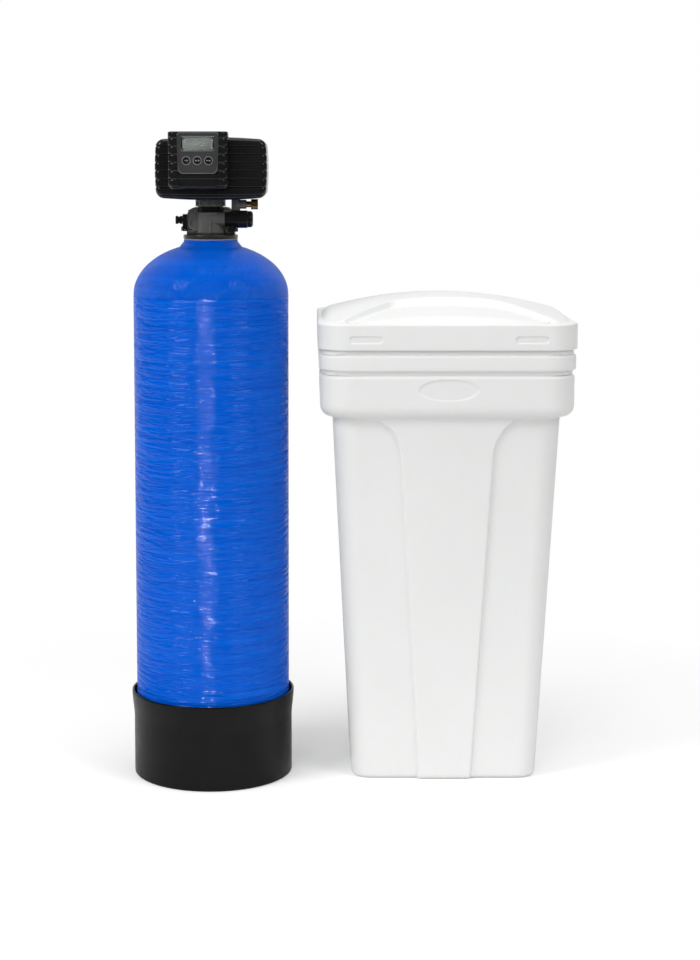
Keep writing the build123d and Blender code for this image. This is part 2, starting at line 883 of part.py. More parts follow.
# Injector housing with its cap, nozzle and the plug under it
plug_seat_z = injector_z - injector_radius - bond_gap
with BuildPart() as injector_housing:
    rod((injector_neck_start, injector_y, injector_z), RIGHT, injector_neck_radius,
        injector_start - injector_neck_start)
    rod((injector_start, injector_y, injector_z), RIGHT, injector_radius,
        injector_body_end - injector_start)
    chamfer(injector_housing.edges().group_by(Axis.X)[-1], (injector_radius - cap_radius))
    for i in range(injector_collars):
        collar_x = injector_neck_start + (2 * i + 1) * injector_collar_width
        rod((collar_x, injector_y, injector_z), RIGHT, injector_neck_radius + bond_gap + seat_gap,
            injector_collar_width / 2)
    block((injector_pad_start, injector_y - injector_pad_half_depth, injector_z),
          (brine_valve_x + brine_valve_radius, injector_y + injector_pad_half_depth,
           injector_pad_top))
    rod((injector_plug_x, injector_y, injector_z), DOWN, injector_plug_boss_radius,
        injector_radius)
    rod((injector_body_end, injector_y, injector_z), LEFT, injector_bore_radius,
        injector_body_end - injector_neck_start - injector_end_wall, Mode.SUBTRACT)
    rod((injector_neck_start, injector_y, injector_z), RIGHT, drain_bore_radius,
        injector_end_wall, Mode.SUBTRACT)
    rod((brine_valve_x, injector_y, injector_z), UP, brine_stem_radius,
        injector_pad_top - injector_z, Mode.SUBTRACT)
    rod((injector_plug_x, injector_y, injector_z), DOWN, drain_bore_radius,
        injector_radius, Mode.SUBTRACT)
save(injector_housing, "injector_housing")

with BuildPart() as injector_cap:
    rod((injector_body_end, injector_y, injector_z), RIGHT, cap_radius,
        injector_end - injector_body_end)
    fillet(injector_cap.edges().group_by(Axis.X)[-1], cap_fillet)
    rod((injector_body_end, injector_y, injector_z), LEFT, injector_bore_radius - seat_gap,
        cap_spigot_length)
save(injector_cap, "injector_cap")

nozzle_start = injector_neck_start + injector_end_wall + seat_gap
with BuildPart() as injector_nozzle:
    rod((nozzle_start, injector_y, injector_z), RIGHT, injector_bore_radius - seat_gap,
        nozzle_length / 3)
    rod((nozzle_start, injector_y, injector_z), RIGHT, injector_bore_radius / 2, nozzle_length)
    rod((nozzle_start, injector_y, injector_z), RIGHT, nozzle_bore_radius, nozzle_length,
        Mode.SUBTRACT)
save(injector_nozzle, "injector_nozzle")

with BuildPart() as injector_plug:
    hexagon_bar((injector_plug_x, injector_y, plug_seat_z), DOWN, injector_plug_across,
                injector_plug_drop)
    rod((injector_plug_x, injector_y, plug_seat_z), UP, drain_bore_radius - seat_gap,
        injector_neck_radius / 3)
save(injector_plug, "injector_plug")

# Brine valve: upright body, sprung stem, brass fitting and nut
spring_seat = brine_valve_top
stem_collar_low = spring_seat + stem_spring_length
chamber_low = injector_pad_top + brine_chamber_floor
with BuildPart() as brine_valve_body:
    rod((brine_valve_x, injector_y, injector_pad_top), UP, brine_valve_radius,
        brine_valve_top - injector_pad_top)
    rod((brine_valve_x, injector_y, brine_boss_z), RIGHT, brine_boss_radius,
        brine_boss_end - brine_valve_x)
    with Locations((brine_valve_x - brine_valve_flute, injector_y - brine_valve_radius,
                    (injector_pad_top + brine_valve_top) / 2)):
        Box(brine_valve_flute, 2 * brine_valve_flute_depth, brine_valve_top - injector_pad_top,
            mode=Mode.SUBTRACT)
    rod((brine_valve_x, injector_y, injector_pad_top), UP, brine_stem_radius + running_gap,
        brine_valve_top - injector_pad_top, Mode.SUBTRACT)
    rod((brine_valve_x, injector_y, chamber_low), UP, brine_chamber_radius,
        brine_chamber_depth, Mode.SUBTRACT)
    rod((brine_boss_end, injector_y, brine_boss_z), LEFT, fitting_root_radius + seat_gap,
        brine_boss_end - brine_valve_x, Mode.SUBTRACT)
save(brine_valve_body, "brine_valve_body")

stem_low = stem_collar_low + stem_collar_height - brine_stem_length
with BuildPart() as brine_stem:
    rod((brine_valve_x, injector_y, stem_low), UP, brine_stem_radius,
        brine_stem_length + stem_collar_height)
    rod((brine_valve_x, injector_y, stem_collar_low), UP, stem_spring_radius, stem_collar_height)
save(brine_stem, "brine_stem")

with BuildPart() as brine_stem_spring:
    rod((brine_valve_x, injector_y, spring_seat), UP, stem_spring_radius, stem_spring_length)
    rod((brine_valve_x, injector_y, spring_seat), UP, brine_stem_radius + seat_gap,
        stem_spring_length, Mode.SUBTRACT)
save(brine_stem_spring, "brine_stem_spring")

nut_start = brine_boss_end + fitting_length
with BuildPart() as brine_fitting:
    rod((brine_boss_end, injector_y, brine_boss_z), LEFT, fitting_root_radius,
        fitting_root_length)
    rod((brine_boss_end, injector_y, brine_boss_z), RIGHT, fitting_radius,
        fitting_length + nut_length / 3)
    rod((brine_boss_end - fitting_root_length, injector_y, brine_boss_z), RIGHT,
        fitting_bore_radius, fitting_root_length + fitting_length + nut_length, Mode.SUBTRACT)
save(brine_fitting, "brine_fitting")

with BuildPart() as brine_nut:
    hexagon_bar((nut_start, injector_y, brine_boss_z), RIGHT, nut_across, nut_length)
    rod((nut_start, injector_y, brine_boss_z), RIGHT, nut_radius, nut_length, Mode.INTERSECT)
    rod((nut_start, injector_y, brine_boss_z), RIGHT, fitting_radius + seat_gap,
        nut_length / 3 + seat_gap, Mode.SUBTRACT)
    rod((nut_start, injector_y, brine_boss_z), RIGHT, tube_bore_radius, nut_length,
        Mode.SUBTRACT)
save(brine_nut, "brine_nut")

# Mixing valve: plate and fluted knob
plate_x = -port_block_half_width
knob_x = mixing_face - mixing_knob_gap
with BuildPart() as mixing_plate:
    with BuildSketch(Plane(origin=(plate_x, mixing_y, (mixing_plate_low + mixing_plate_high) / 2),
                           x_dir=BACK, z_dir=RIGHT)):
        RectangleRounded(2 * mixing_plate_half_depth, mixing_plate_high - mixing_plate_low,
                         mixing_plate_corner)
    extrude(amount=-mixing_plate_thickness)
    rod((plate_x, mixing_y, mixing_z), LEFT, mixing_bore_radius, mixing_plate_thickness,
        Mode.SUBTRACT)
    for y, z in mixing_screw_places:
        rod((mixing_face, y, z), RIGHT, screw_hole_radius, mixing_plate_thickness, Mode.SUBTRACT)
save(mixing_plate, "mixing_plate")

waist_length = mixing_knob_length / 5
with BuildPart() as mixing_knob:
    rod((knob_x, mixing_y, mixing_z), LEFT, mixing_knob_radius, mixing_knob_length)
    with Locations(Plane(origin=(knob_x, mixing_y, mixing_z), z_dir=LEFT)):
        with PolarLocations(mixing_knob_radius, mixing_knob_flutes):
            Cylinder(mixing_knob_flute_radius, mixing_knob_length,
                     align=(Align.CENTER, Align.CENTER, Align.MIN), mode=Mode.SUBTRACT)
    with BuildSketch(Plane(origin=(knob_x - 2 * waist_length, mixing_y, mixing_z), z_dir=LEFT)):
        Circle(mixing_knob_radius + overrun)
        Circle(mixing_knob_radius - mixing_knob_waist, mode=Mode.SUBTRACT)
    extrude(amount=waist_length, mode=Mode.SUBTRACT)
    rod((knob_x, mixing_y, mixing_z), RIGHT, mixing_stem_radius,
        mixing_knob_gap + mixing_plate_thickness + mixing_stem_depth - seat_gap)
save(mixing_knob, "mixing_knob")

# Yoke with the inlet at the left and the outlet at the right, seen from the front
yoke_plate_front = port_block_back + seat_gap
yoke_plate_back = yoke_plate_front + yoke_plate_thickness
pipe_end = yoke_plate_back + yoke_neck_length + pipe_thread_length
spigot_low = yoke_plate_front - yoke_spigot_length
seal_y = spigot_low + 2 * port_seal_width
spigot_radius = socket_radius - seat_gap
with BuildPart() as port_yoke:
    block((-port_block_half_width, yoke_plate_front, yoke_plate_low),
          (port_block_half_width, yoke_plate_back, yoke_plate_high))
    for x in port_places:
        rod((x, spigot_low, port_z), BACK, spigot_radius, yoke_spigot_length)
        rod((x, yoke_plate_back, port_z), BACK, pipe_thread_radius - port_seal_depth,
            yoke_neck_length)
        rod((x, pipe_end, port_z), FRONT, pipe_thread_radius, pipe_thread_length)
    for x in port_places:
        with BuildSketch(front_plane(x, seal_y + port_seal_width, port_z)):
            Circle(spigot_radius + overrun)
            Circle(spigot_radius - port_seal_depth, mode=Mode.SUBTRACT)
        extrude(amount=port_seal_width, mode=Mode.SUBTRACT)
        rod((x, spigot_low, port_z), BACK, pipe_bore_radius, pipe_end - spigot_low, Mode.SUBTRACT)
save(port_yoke, "port_yoke")

with BuildPart() as port_seals:
    for x in port_places:
        rod((x, seal_y + bond_gap, port_z), BACK, socket_radius - bond_gap,
            port_seal_width - 2 * bond_gap)
        rod((x, seal_y, port_z), BACK, spigot_radius - port_seal_depth + bond_gap,
            port_seal_width, Mode.SUBTRACT)
save(port_seals, "port_seals")

clip_back = yoke_plate_back + bond_gap + clip_thickness
with BuildPart() as yoke_clips:
    for side, inwards in ((-1, RIGHT), (1, LEFT)):
        near, far = sorted((side * clip_x, side * clip_face))
        block((near, port_block_back - clip_length, clip_low), (far, clip_back, clip_high))
        near, far = sorted((side * (clip_x - clip_lip), side * clip_x))
        block((near, yoke_plate_back + bond_gap, clip_low), (far, clip_back, clip_high))
        rod((side * clip_face, clip_screw_y, clip_screw_z), inwards, screw_hole_radius,
            clip_thickness, Mode.SUBTRACT)
save(yoke_clips, "yoke_clips")

# Flow meter in the outlet
support_y = yoke_plate_back
outlet_x = port_spacing / 2
axle_length = support_length + 2 * seat_gap + turbine_length
with BuildPart() as turbine_support:
    rod((outlet_x, support_y, port_z), BACK, pipe_bore_radius - bond_gap, support_length)
    rod((outlet_x, support_y, port_z), BACK, pipe_bore_radius - bond_gap - support_arm_width,
        support_length, Mode.SUBTRACT)
    with Locations(front_plane(outlet_x, support_y + support_length / 2, port_z)):
        with PolarLocations((pipe_bore_radius - support_arm_width) / 2, support_arms):
            Box(pipe_bore_radius - support_arm_width, support_arm_width, support_length)
    rod((outlet_x, support_y, port_z), BACK, turbine_hub_radius, support_length)
    rod((outlet_x, support_y, port_z), BACK, turbine_axle_radius, axle_length)
save(turbine_support, "turbine_support")

turbine_y = support_y + support_length + seat_gap
with BuildPart() as meter_turbine:
    rod((outlet_x, turbine_y, port_z), BACK, turbine_hub_radius, turbine_length)
    with Locations(front_plane(outlet_x, turbine_y + turbine_length / 2, port_z)):
        with PolarLocations(turbine_radius / 2, turbine_vanes):
            Box(turbine_radius, turbine_vane_width, turbine_length)
    rod((outlet_x, turbine_y, port_z), BACK, turbine_axle_radius + running_gap, turbine_length,
        Mode.SUBTRACT)
save(meter_turbine, "meter_turbine")

# Drain fitting at the right of the port block
drain_x = port_block_half_width
with BuildPart() as drain_fitting:
    rod((drain_x, drain_y, drain_z), RIGHT, drain_radius, drain_flange_length)
    hexagon_bar((drain_x + drain_flange_length, drain_y, drain_z), RIGHT, 2 * drain_barb_radius,
                drain_reach - drain_flange_length)
    rod((drain_x + drain_reach, drain_y, drain_z), RIGHT, drain_barb_radius, drain_barb_length)
    barb_pitch = drain_barb_length / drain_barbs
    for i in range(drain_barbs):
        start = drain_x + drain_reach + i * barb_pitch
        with Locations(Plane(origin=(start, drain_y, drain_z), z_dir=RIGHT)):
            Cone(drain_barb_radius + drain_barb_lip, drain_barb_radius, barb_pitch,
                 align=(Align.CENTER, Align.CENTER, Align.MIN))
    rod((drain_x, drain_y, drain_z), RIGHT, drain_bore_radius, drain_reach + drain_barb_length,
        Mode.SUBTRACT)
save(drain_fitting, "drain_fitting")

# Frame that stands on the retainer and carries the drive
web_back = web_front + web_thickness
post_places = [(x, z) for x in (web_left + post_inset, web_right - post_inset)
               for z in (post_low, post_high)]
panel_front = cover_back - panel_thickness
post_length = panel_front - web_back
frame_top = head_base_height + frame_floor
with BuildPart() as head_frame:
    with BuildSketch(Plane.XY.offset(head_base_height)):
        with Locations(((frame_left + frame_right) / 2, (frame_front + frame_back) / 2)):
            RectangleRounded(frame_right - frame_left, frame_back - frame_front, frame_corner)
    extrude(amount=frame_floor)
    block((web_left, web_front, head_base_height), (web_right, web_back, web_top))
    for x in (web_left, web_right - web_thickness):
        with BuildSketch(Plane(origin=(x, 0, 0), x_dir=BACK, z_dir=RIGHT)):
            with BuildLine():
                Polyline((frame_front / 2, frame_top), (web_front, frame_top),
                         (web_front, (frame_top + web_top) / 2), (frame_front / 2, frame_top))
            make_face()
        extrude(amount=web_thickness)
    for x, z in post_places:
        rod((x, web_back, z), BACK, post_radius, post_length)
        rod((x, panel_front, z), FRONT, screw_radius + bond_gap, screw_depth, Mode.SUBTRACT)
    rod((0, web_front, gear_z), FRONT, gear_axle_radius, web_front - gear_front)
    rod((0, web_front, gear_z), FRONT, gear_hub_radius, web_front - gear_front
        - gear_thickness - seat_gap)
    rod((0, 0, head_base_height), UP, retainer_bore_radius, frame_floor, Mode.SUBTRACT)
    rod((brine_valve_x, injector_y, head_base_height), UP, brine_valve_radius + seat_gap,
        frame_floor, Mode.SUBTRACT)
    rod((pinion_x, web_front, gear_z), BACK, motor_boss_radius + seat_gap, web_thickness,
        Mode.SUBTRACT)
save(head_frame, "head_frame")

# Gear train: main gear with crank pin and cam, motor and its pinion
with BuildPart() as main_gear:
    extrude(gear_sketch((0, gear_z), gear_front + gear_thickness, gear_teeth),
            amount=gear_thickness)
    with BuildSketch(front_plane(0, gear_front + gear_web_depth, gear_z)):
        Circle(pitch_radius - gear_rim_width)
        Circle(cam_outer_radius - gear_rim_width, mode=Mode.SUBTRACT)
    extrude(amount=gear_web_depth, mode=Mode.SUBTRACT)
    with BuildSketch(front_plane(0, gear_front + gear_web_depth, gear_z)):
        with BuildLine():
            CenterArc((0, 0), cam_outer_radius, -cam_angle / 2, cam_angle)
            CenterArc((0, 0), cam_inner_radius, -cam_angle / 2, cam_angle)
            for turn in (-cam_angle / 2, cam_angle / 2):
                PolarLine((cam_inner_radius * math.cos(math.radians(turn)),
                           cam_inner_radius * math.sin(math.radians(turn))),
                          cam_outer_radius - cam_inner_radius, turn)
        make_face()
    extrude(amount=gear_web_depth + cam_height)
    rod((0, gear_front, gear_z - crank_radius), FRONT, crank_pin_radius, crank_pin_length)
    rod((0, gear_front, gear_z), BACK, gear_axle_radius + running_gap, gear_thickness,
        Mode.SUBTRACT)
save(main_gear, "main_gear")

with BuildPart() as motor_pinion:
    extrude(gear_sketch((pinion_x, gear_z), gear_front + gear_thickness, pinion_teeth),
            amount=gear_thickness)
    rod((pinion_x, gear_front, gear_z), BACK, motor_shaft_radius + running_gap, gear_thickness,
        Mode.SUBTRACT)
save(motor_pinion, "motor_pinion")

with BuildPart() as drive_motor:
    rod((pinion_x, web_back + bond_gap, gear_z), BACK, motor_radius, motor_length)
    fillet(drive_motor.edges().group_by(Axis.Y)[-1], motor_shaft_radius)
    rod((pinion_x, web_back + bond_gap, gear_z), FRONT, motor_boss_radius, web_thickness)
    for side in (-1, 1):
        block((pinion_x - motor_ear_width / 2, web_back + bond_gap,
               gear_z + side * motor_radius - motor_ear_reach),
              (pinion_x + motor_ear_width / 2, web_back + bond_gap + panel_thickness,
               gear_z + side * motor_radius + motor_ear_reach))
    rod((pinion_x, web_back, gear_z), FRONT, motor_shaft_radius, web_back - gear_front)
save(drive_motor, "drive_motor")

with BuildPart() as position_switch:
    block((switch_left, web_front - switch_thickness, switch_low),
          (switch_right, web_front, switch_high))
    block((switch_right, web_front - switch_thickness, switch_high - 2 * switch_lever_thickness),
          (switch_right + switch_lever_thickness, web_front, switch_high))
    block((switch_right, web_front - switch_thickness, (switch_low + switch_high) / 2),
          (switch_right + switch_lever_thickness, web_front,
           (switch_low + switch_high) / 2 + switch_lever_thickness))
save(position_switch, "position_switch")

# Back panel inside the cover's rear edge, with the power cord's gland
with BuildPart() as back_panel:
    extrude(cover_outline(cover_back, cover_wall + seat_gap), amount=panel_thickness)
    for x, z in post_places:
        rod((x, cover_back, z), FRONT, screw_radius + bond_gap, panel_thickness, Mode.SUBTRACT)
    rod((gland_x, cover_back, gland_z), FRONT, gland_root_radius + bond_gap, panel_thickness,
        Mode.SUBTRACT)
save(back_panel, "back_panel")

with BuildPart() as power_gland:
    rod((gland_x, cover_back, gland_z), BACK, gland_radius, gland_length)
    fillet(power_gland.edges().group_by(Axis.Y)[-1], gland_radius / 3)
    rod((gland_x, cover_back, gland_z), FRONT, gland_root_radius, 2 * panel_thickness)
    rod((gland_x, cover_back + gland_length, gland_z), FRONT, gland_bore_radius,
        gland_length + 2 * panel_thickness, Mode.SUBTRACT)
save(power_gland, "power_gland")

# Small screws: back panel, mixing plate and yoke clips
with BuildPart() as small_screws:
    for x, z in post_places:
        screw((x, cover_back, z), FRONT, screw_depth)
    for y, z in mixing_screw_places:
        screw((mixing_face, y, z), RIGHT, mixing_plate_thickness + screw_depth - seat_gap)
    for side, inwards in ((-1, RIGHT), (1, LEFT)):
        screw((side * clip_face, clip_screw_y, clip_screw_z), inwards,
              clip_thickness + screw_depth / 3 - seat_gap)
save(small_screws, "small_screws")


# Head cover: ribbed shell, open at the back and round the valve below
def cover_half_at(z):
    """Half width of the cover at a height, on its bulged sides."""
    share = (z - cover_mid_z) / (cover_mid_z - cover_bottom - cover_crown)
    return cover_half_width - cover_side_bulge * share ** 2


with BuildPart() as cover_hollow:
    extrude(cover_outline(cover_back, cover_wall), amount=cover_back - cover_front - cover_wall)
    fillet(cover_hollow.edges().group_by(Axis.Y)[0], cover_front_fillet - cover_wall)

window_low = display_low + wire_window_inset
window_high = cover_top - wire_window_inset
with BuildPart() as head_cover:
    extrude(cover_outline(cover_back), amount=cover_back - cover_front)
    fillet(head_cover.edges().group_by(Axis.Y)[0], cover_front_fillet)
    add(cover_hollow.part, mode=Mode.SUBTRACT)
    for z in groove_heights:
        inner_half = cover_half_at(z) - groove_depth
        inner_back = 2 * cover_back
        inner_front = cover_front + groove_depth
        with BuildSketch(Plane.XY.offset(z - groove_width / 2)):
            with Locations((cover_centre_x, 0)):
                Rectangle(4 * cover_half_width, 4 * cover_back)
            with Locations((cover_centre_x, (inner_front + inner_back) / 2)):
                RectangleRounded(2 * inner_half, inner_back - inner_front,
                                 cover_front_fillet - groove_depth, mode=Mode.SUBTRACT)
        extrude(amount=groove_width, mode=Mode.SUBTRACT)
    block((underside_left, underside_front, cover_bottom - cover_wall),
          (underside_right, cover_back, cover_bottom + cover_crown + cover_wall), Mode.SUBTRACT)
    block((display_left + wire_window_inset, cover_front, window_low),
          (display_right - wire_window_inset, cover_front + 2 * cover_wall, window_high),
          Mode.SUBTRACT)
save(head_cover, "head_cover")

# Display housing on the cover's front
with BuildPart() as display_housing:
    with BuildSketch(Plane.XY.offset(display_low)):
        with BuildLine():
            Polyline((display_left, cover_front), (display_left, display_front),
                     (display_right, display_front), (display_right, cover_front),
                     (display_left, cover_front))
        make_face()
    extrude(amount=display_high - display_low)
    upright = display_housing.edges().filter_by(Axis.Z).group_by(Axis.Y)[0]
    fillet(upright, display_side_fillet)
    top_edges = display_housing.faces().sort_by(Axis.Z)[-1].edges()
    fillet(top_edges.sort_by(Axis.Y)[:-1], display_top_fillet)
    low_edges = display_housing.faces().sort_by(Axis.Z)[0].edges()
    fillet(low_edges.sort_by(Axis.Y)[:-1], display_low_fillet)
    block((display_left + display_wall, display_front + display_wall + plate_thickness,
           display_low + display_low_fillet),
          (display_right - display_wall, cover_front - display_wall, display_high - display_wall),
          Mode.SUBTRACT)
    for z in groove_heights:
        with BuildSketch(Plane.XY.offset(z - groove_width / 2)):
            with Locations(((display_left + display_right) / 2, cover_front)):
                Rectangle(2 * (display_right - display_left), 4 * (cover_front - display_front))
            with Locations(((display_left + display_right) / 2, cover_front)):
                RectangleRounded(display_right - display_left - 2 * groove_depth,
                                 2 * (cover_front - display_front),
                                 display_side_fillet, mode=Mode.SUBTRACT)
        extrude(amount=groove_width, mode=Mode.SUBTRACT)
    with BuildSketch(front_plane(0, display_front + plate_thickness - plate_proud, 0)):
        with BuildLine():
            Polyline((plate_left - seat_gap, plate_high + seat_gap),
                     (plate_left + plate_taper - seat_gap, plate_low - seat_gap),
                     (plate_right - plate_taper + seat_gap, plate_low - seat_gap),
                     (plate_right + seat_gap, plate_high + seat_gap),
                     (plate_left - seat_gap, plate_high + seat_gap))
        make_face()
    extrude(amount=plate_thickness, mode=Mode.SUBTRACT)
    block((plate_left + plate_ledge, display_front, plate_low + plate_ledge),
          (plate_right - plate_ledge, display_front + 2 * plate_thickness + display_wall,
           plate_high - plate_ledge), Mode.SUBTRACT)
    block((display_left + wire_window_inset, cover_front - display_wall, window_low),
          (display_right - wire_window_inset, cover_front, window_high), Mode.SUBTRACT)
    with BuildSketch(front_plane(0, display_front + chin_depth, 0)):
        with BuildLine():
            Polyline((display_left + chin_inset, chin_high),
                     (display_left + chin_inset + chin_slant, chin_low),
                     (display_right - chin_inset - chin_slant, chin_low),
                     (display_right - chin_inset, chin_high),
                     (display_left + chin_inset, chin_high))
        make_face()
    extrude(amount=2 * chin_depth, mode=Mode.SUBTRACT)
save(display_housing, "display_housing")


def plate_outline(y, inset=0.0):
    """The faceplate's outline: it narrows a little towards its round lower corners."""
    with BuildSketch(front_plane(0, y, 0)) as outline:
        with BuildLine():
            Polyline((plate_left + inset, plate_high - inset),
                     (plate_left + plate_taper + inset, plate_low + inset),
                     (plate_right - plate_taper - inset, plate_low + inset),
                     (plate_right - inset, plate_high - inset),
                     (plate_left + inset, plate_high - inset))
        make_face()
        fillet(outline.vertices().group_by(Axis.Y)[0], plate_low_corner - inset)
        fillet(outline.vertices().group_by(Axis.Y)[-1], plate_high_corner - inset)
    return outline.sketch


lens_size = (lens_right - lens_left, lens_high - lens_low)
lens_centre = ((lens_left + lens_right) / 2, (lens_low + lens_high) / 2)
with BuildPart() as faceplate:
    extrude(plate_outline(plate_back), amount=plate_thickness)
    extrude(plate_outline(plate_face + plate_rim_height, plate_rim), amount=plate_rim_height,
            mode=Mode.SUBTRACT)
    with BuildSketch(front_plane(lens_centre[0], plate_face + lens_inset + lens_thickness,
                                 lens_centre[1])):
        RectangleRounded(lens_size[0] + 2 * slide_gap, lens_size[1] + 2 * slide_gap, lens_corner)
    extrude(amount=plate_thickness, mode=Mode.SUBTRACT)
    block((lens_left + lens_ledge, plate_face, lens_low + lens_ledge),
          (lens_right - lens_ledge, plate_back, lens_high - lens_ledge), Mode.SUBTRACT)
    for x in button_places:
        rod((x, plate_back, button_z), FRONT, button_radius + slide_gap, plate_thickness,
            Mode.SUBTRACT)
save(faceplate, "faceplate")

with BuildPart() as button_rings:
    for x in button_places:
        rod((x, plate_face + plate_rim_height, button_z), FRONT, button_ring_radius,
            button_ring_height)
        rod((x, plate_face + plate_rim_height, button_z), FRONT, button_radius + slide_gap,
            button_ring_height, Mode.SUBTRACT)
save(button_rings, "button_rings")

with BuildPart() as display_lens:
    with BuildSketch(front_plane(lens_centre[0], plate_face + lens_inset + lens_thickness,
                                 lens_centre[1])):
        RectangleRounded(*lens_size, lens_corner)
    extrude(amount=lens_thickness)
save(display_lens, "display_lens")

module_front = plate_back + seat_gap
with BuildPart() as display_module:
    block((lens_left - module_margin, module_front, lens_low - module_margin),
          (lens_right + module_margin, module_front + module_thickness,
           lens_high + module_margin))
save(display_module, "display_module")

# Buttons, each with a flange behind the faceplate
button_front = plate_face - button_proud + plate_rim_height
for x, name in zip(button_places, ("cycle_button", "down_button", "up_button")):
    with BuildPart() as button:
        rod((x, button_front, button_z), BACK, button_radius, button_length)
        fillet(button.edges().group_by(Axis.Y)[0], button_proud / 2)
        rod((x, plate_back + bond_gap, button_z), BACK, button_flange_radius,
            button_flange_height)
    save(button, name)

# Circuit board with three key switches and a processor, held by the housing's inner walls
button_stroke_end = button_front + button_length + button_travel
board_y = button_stroke_end + bond_gap + switch_button_height
board_edge = display_wall + seat_gap
with BuildPart() as circuit_board:
    block((display_left + board_edge, board_y, display_low + display_low_fillet + seat_gap),
          (display_right - board_edge, board_y + board_thickness, display_high - board_edge))
    for x in button_places:
        rod((x, board_y, button_z), FRONT, switch_button_radius, switch_button_height)
    block((lens_centre[0] - chip_size / 2, board_y + board_thickness, button_z - chip_size / 2),
          (lens_centre[0] + chip_size / 2, board_y + board_thickness + chip_height,
           button_z + chip_size / 2))
save(circuit_board, "circuit_board")


def tank_prism(half, corner, low, high, mode=Mode.ADD):
    """An upright square prism with round corners, centred on the brine tank's axis."""
    with BuildSketch(Plane((tank_x, tank_y, low))) as outline:
        RectangleRounded(2 * half, 2 * half, corner)
    extrude(outline.sketch, amount=high - low, mode=mode)


def tapered_body(inset, low, depth_extra=0.0):
    """Two outlines, foot and top, of the brine tank's tapered body."""
    lean = (body_top_half - foot_half) / body_height
    sketches = []
    for z in (low, body_height):
        half = foot_half + lean * z - inset
        corner = foot_corner + (body_top_corner - foot_corner) * z / body_height - inset
        with BuildSketch(Plane((tank_x, tank_y, z))) as outline:
            RectangleRounded(2 * half, 2 * (half + depth_extra), corner)
        sketches.append(outline.sketch)
    return sketches


# Brine tank: tapered body with a raised front and back panel, collar, grooves and rim
flare = math.radians(panel_flare_angle)
with BuildPart() as raised_panels:
    with BuildSketch(front_plane(tank_x, tank_y + body_top_half + 2 * panel_proud, 0)):
        with BuildLine():
            Line((-panel_foot_half, 0), (panel_foot_half, 0))
            Line((panel_foot_half, 0), (panel_top_half, panel_straight_height))
            JernArc((panel_top_half, panel_straight_height), (0, 1), panel_flare_radius,
                    -panel_flare_angle)
            JernArc((-panel_top_half, panel_straight_height), (0, 1), panel_flare_radius,
                    panel_flare_angle)
            Line((-panel_top_half, panel_straight_height), (-panel_foot_half, 0))
            flare_x = panel_top_half + panel_flare_radius * (1 - math.cos(flare))
            flare_z = panel_straight_height + panel_flare_radius * math.sin(flare)
            Line((flare_x, flare_z), (-flare_x, flare_z))
        make_face()
    extrude(amount=2 * (body_top_half + 2 * panel_proud))
    loft(tapered_body(0.0, 0.0, panel_proud), mode=Mode.INTERSECT)

with BuildPart() as tank_hollow:
    loft(tapered_body(tank_wall, tank_wall))
    fillet(tank_hollow.edges().group_by(Axis.Z)[0], foot_fillet - tank_wall)

hollow_collar_low = body_height + tank_wall * 3 / 2
with BuildPart() as collar_hollow:
    tank_prism(collar_half - tank_wall, collar_corner - tank_wall, hollow_collar_low,
               collar_top - tank_wall)
    fillet(collar_hollow.edges().group_by(Axis.Z)[0], collar_fillet - tank_wall / 2)
    tank_prism(rim_half - tank_wall, collar_corner - 2 * tank_wall, hollow_collar_low, rim_top)
    tank_prism(body_top_half - tank_wall, body_top_corner - tank_wall, body_height - overrun,
               hollow_collar_low + overrun)

with BuildPart() as collar:
    tank_prism(collar_half, collar_corner, body_height, collar_top)
    fillet(collar.edges().group_by(Axis.Z)[0], collar_fillet)

with BuildPart() as ring_band:
    tank_prism(ring_half, collar_corner, ring_low, ring_high)
    chamfer(ring_band.edges().group_by(Axis.Z)[0] + ring_band.edges().group_by(Axis.Z)[-1],
            ring_chamfer)

with BuildPart() as brine_tank:
    loft(tapered_body(0.0, 0.0))
    fillet(brine_tank.edges().group_by(Axis.Z)[0], foot_fillet)
    add(raised_panels.part)
    add(collar.part)
    tank_prism(lower_groove_half, collar_corner - tank_wall, collar_top, ring_low)
    add(ring_band.part)
    tank_prism(rim_half, collar_corner - tank_wall, ring_high, rim_top)
    add(tank_hollow.part, mode=Mode.SUBTRACT)
    add(collar_hollow.part, mode=Mode.SUBTRACT)
    with BuildSketch(front_plane(tank_x, tank_y - collar_half + oval_depth, oval_z)):
        Ellipse(oval_half_width, oval_half_height)
    extrude(amount=2 * oval_depth, mode=Mode.SUBTRACT)
    rod((overflow_x, tank_y, overflow_z), BACK, overflow_hole_radius, collar_half + overrun,
        Mode.SUBTRACT)
    rod((line_hole_x, tank_y, line_hole_z), BACK, line_hole_radius, collar_half + overrun,
        Mode.SUBTRACT)
save(brine_tank, "brine_tank")


def scoop_cutter(extra):
    """The room over the hand scoop: a trapezium, widest in front, whose walls lean outwards."""
    with BuildSketch(Plane.XY.offset(lid_band_top)) as outline:
        with BuildLine():
            Polyline((tank_x - scoop_back_half, scoop_back_y),
                     (tank_x - scoop_front_half, scoop_front_y),
                     (tank_x + scoop_front_half, scoop_front_y),
                     (tank_x + scoop_back_half, scoop_back_y),
                     (tank_x - scoop_back_half, scoop_back_y))
        make_face()
        if extra:
            offset(amount=extra, kind=Kind.INTERSECTION)
    with BuildPart() as cutter:
        extrude(outline.sketch, amount=dome_top - lid_band_top + overrun, taper=-scoop_taper)
    return cutter.part


def lid_dome(half, corner, low, top, crown_radius, edge_radius):
    """A square block with a crowned top and a round shoulder."""
    with BuildPart() as dome:
        tank_prism(half, corner, low, dome_top)
        with Locations((tank_x, tank_y, top - crown_radius)):
            Sphere(crown_radius, mode=Mode.INTERSECT)
        crown = dome.faces().sort_by(Axis.Z)[-1]
        fillet(crown.edges(), edge_radius)
    return dome.part


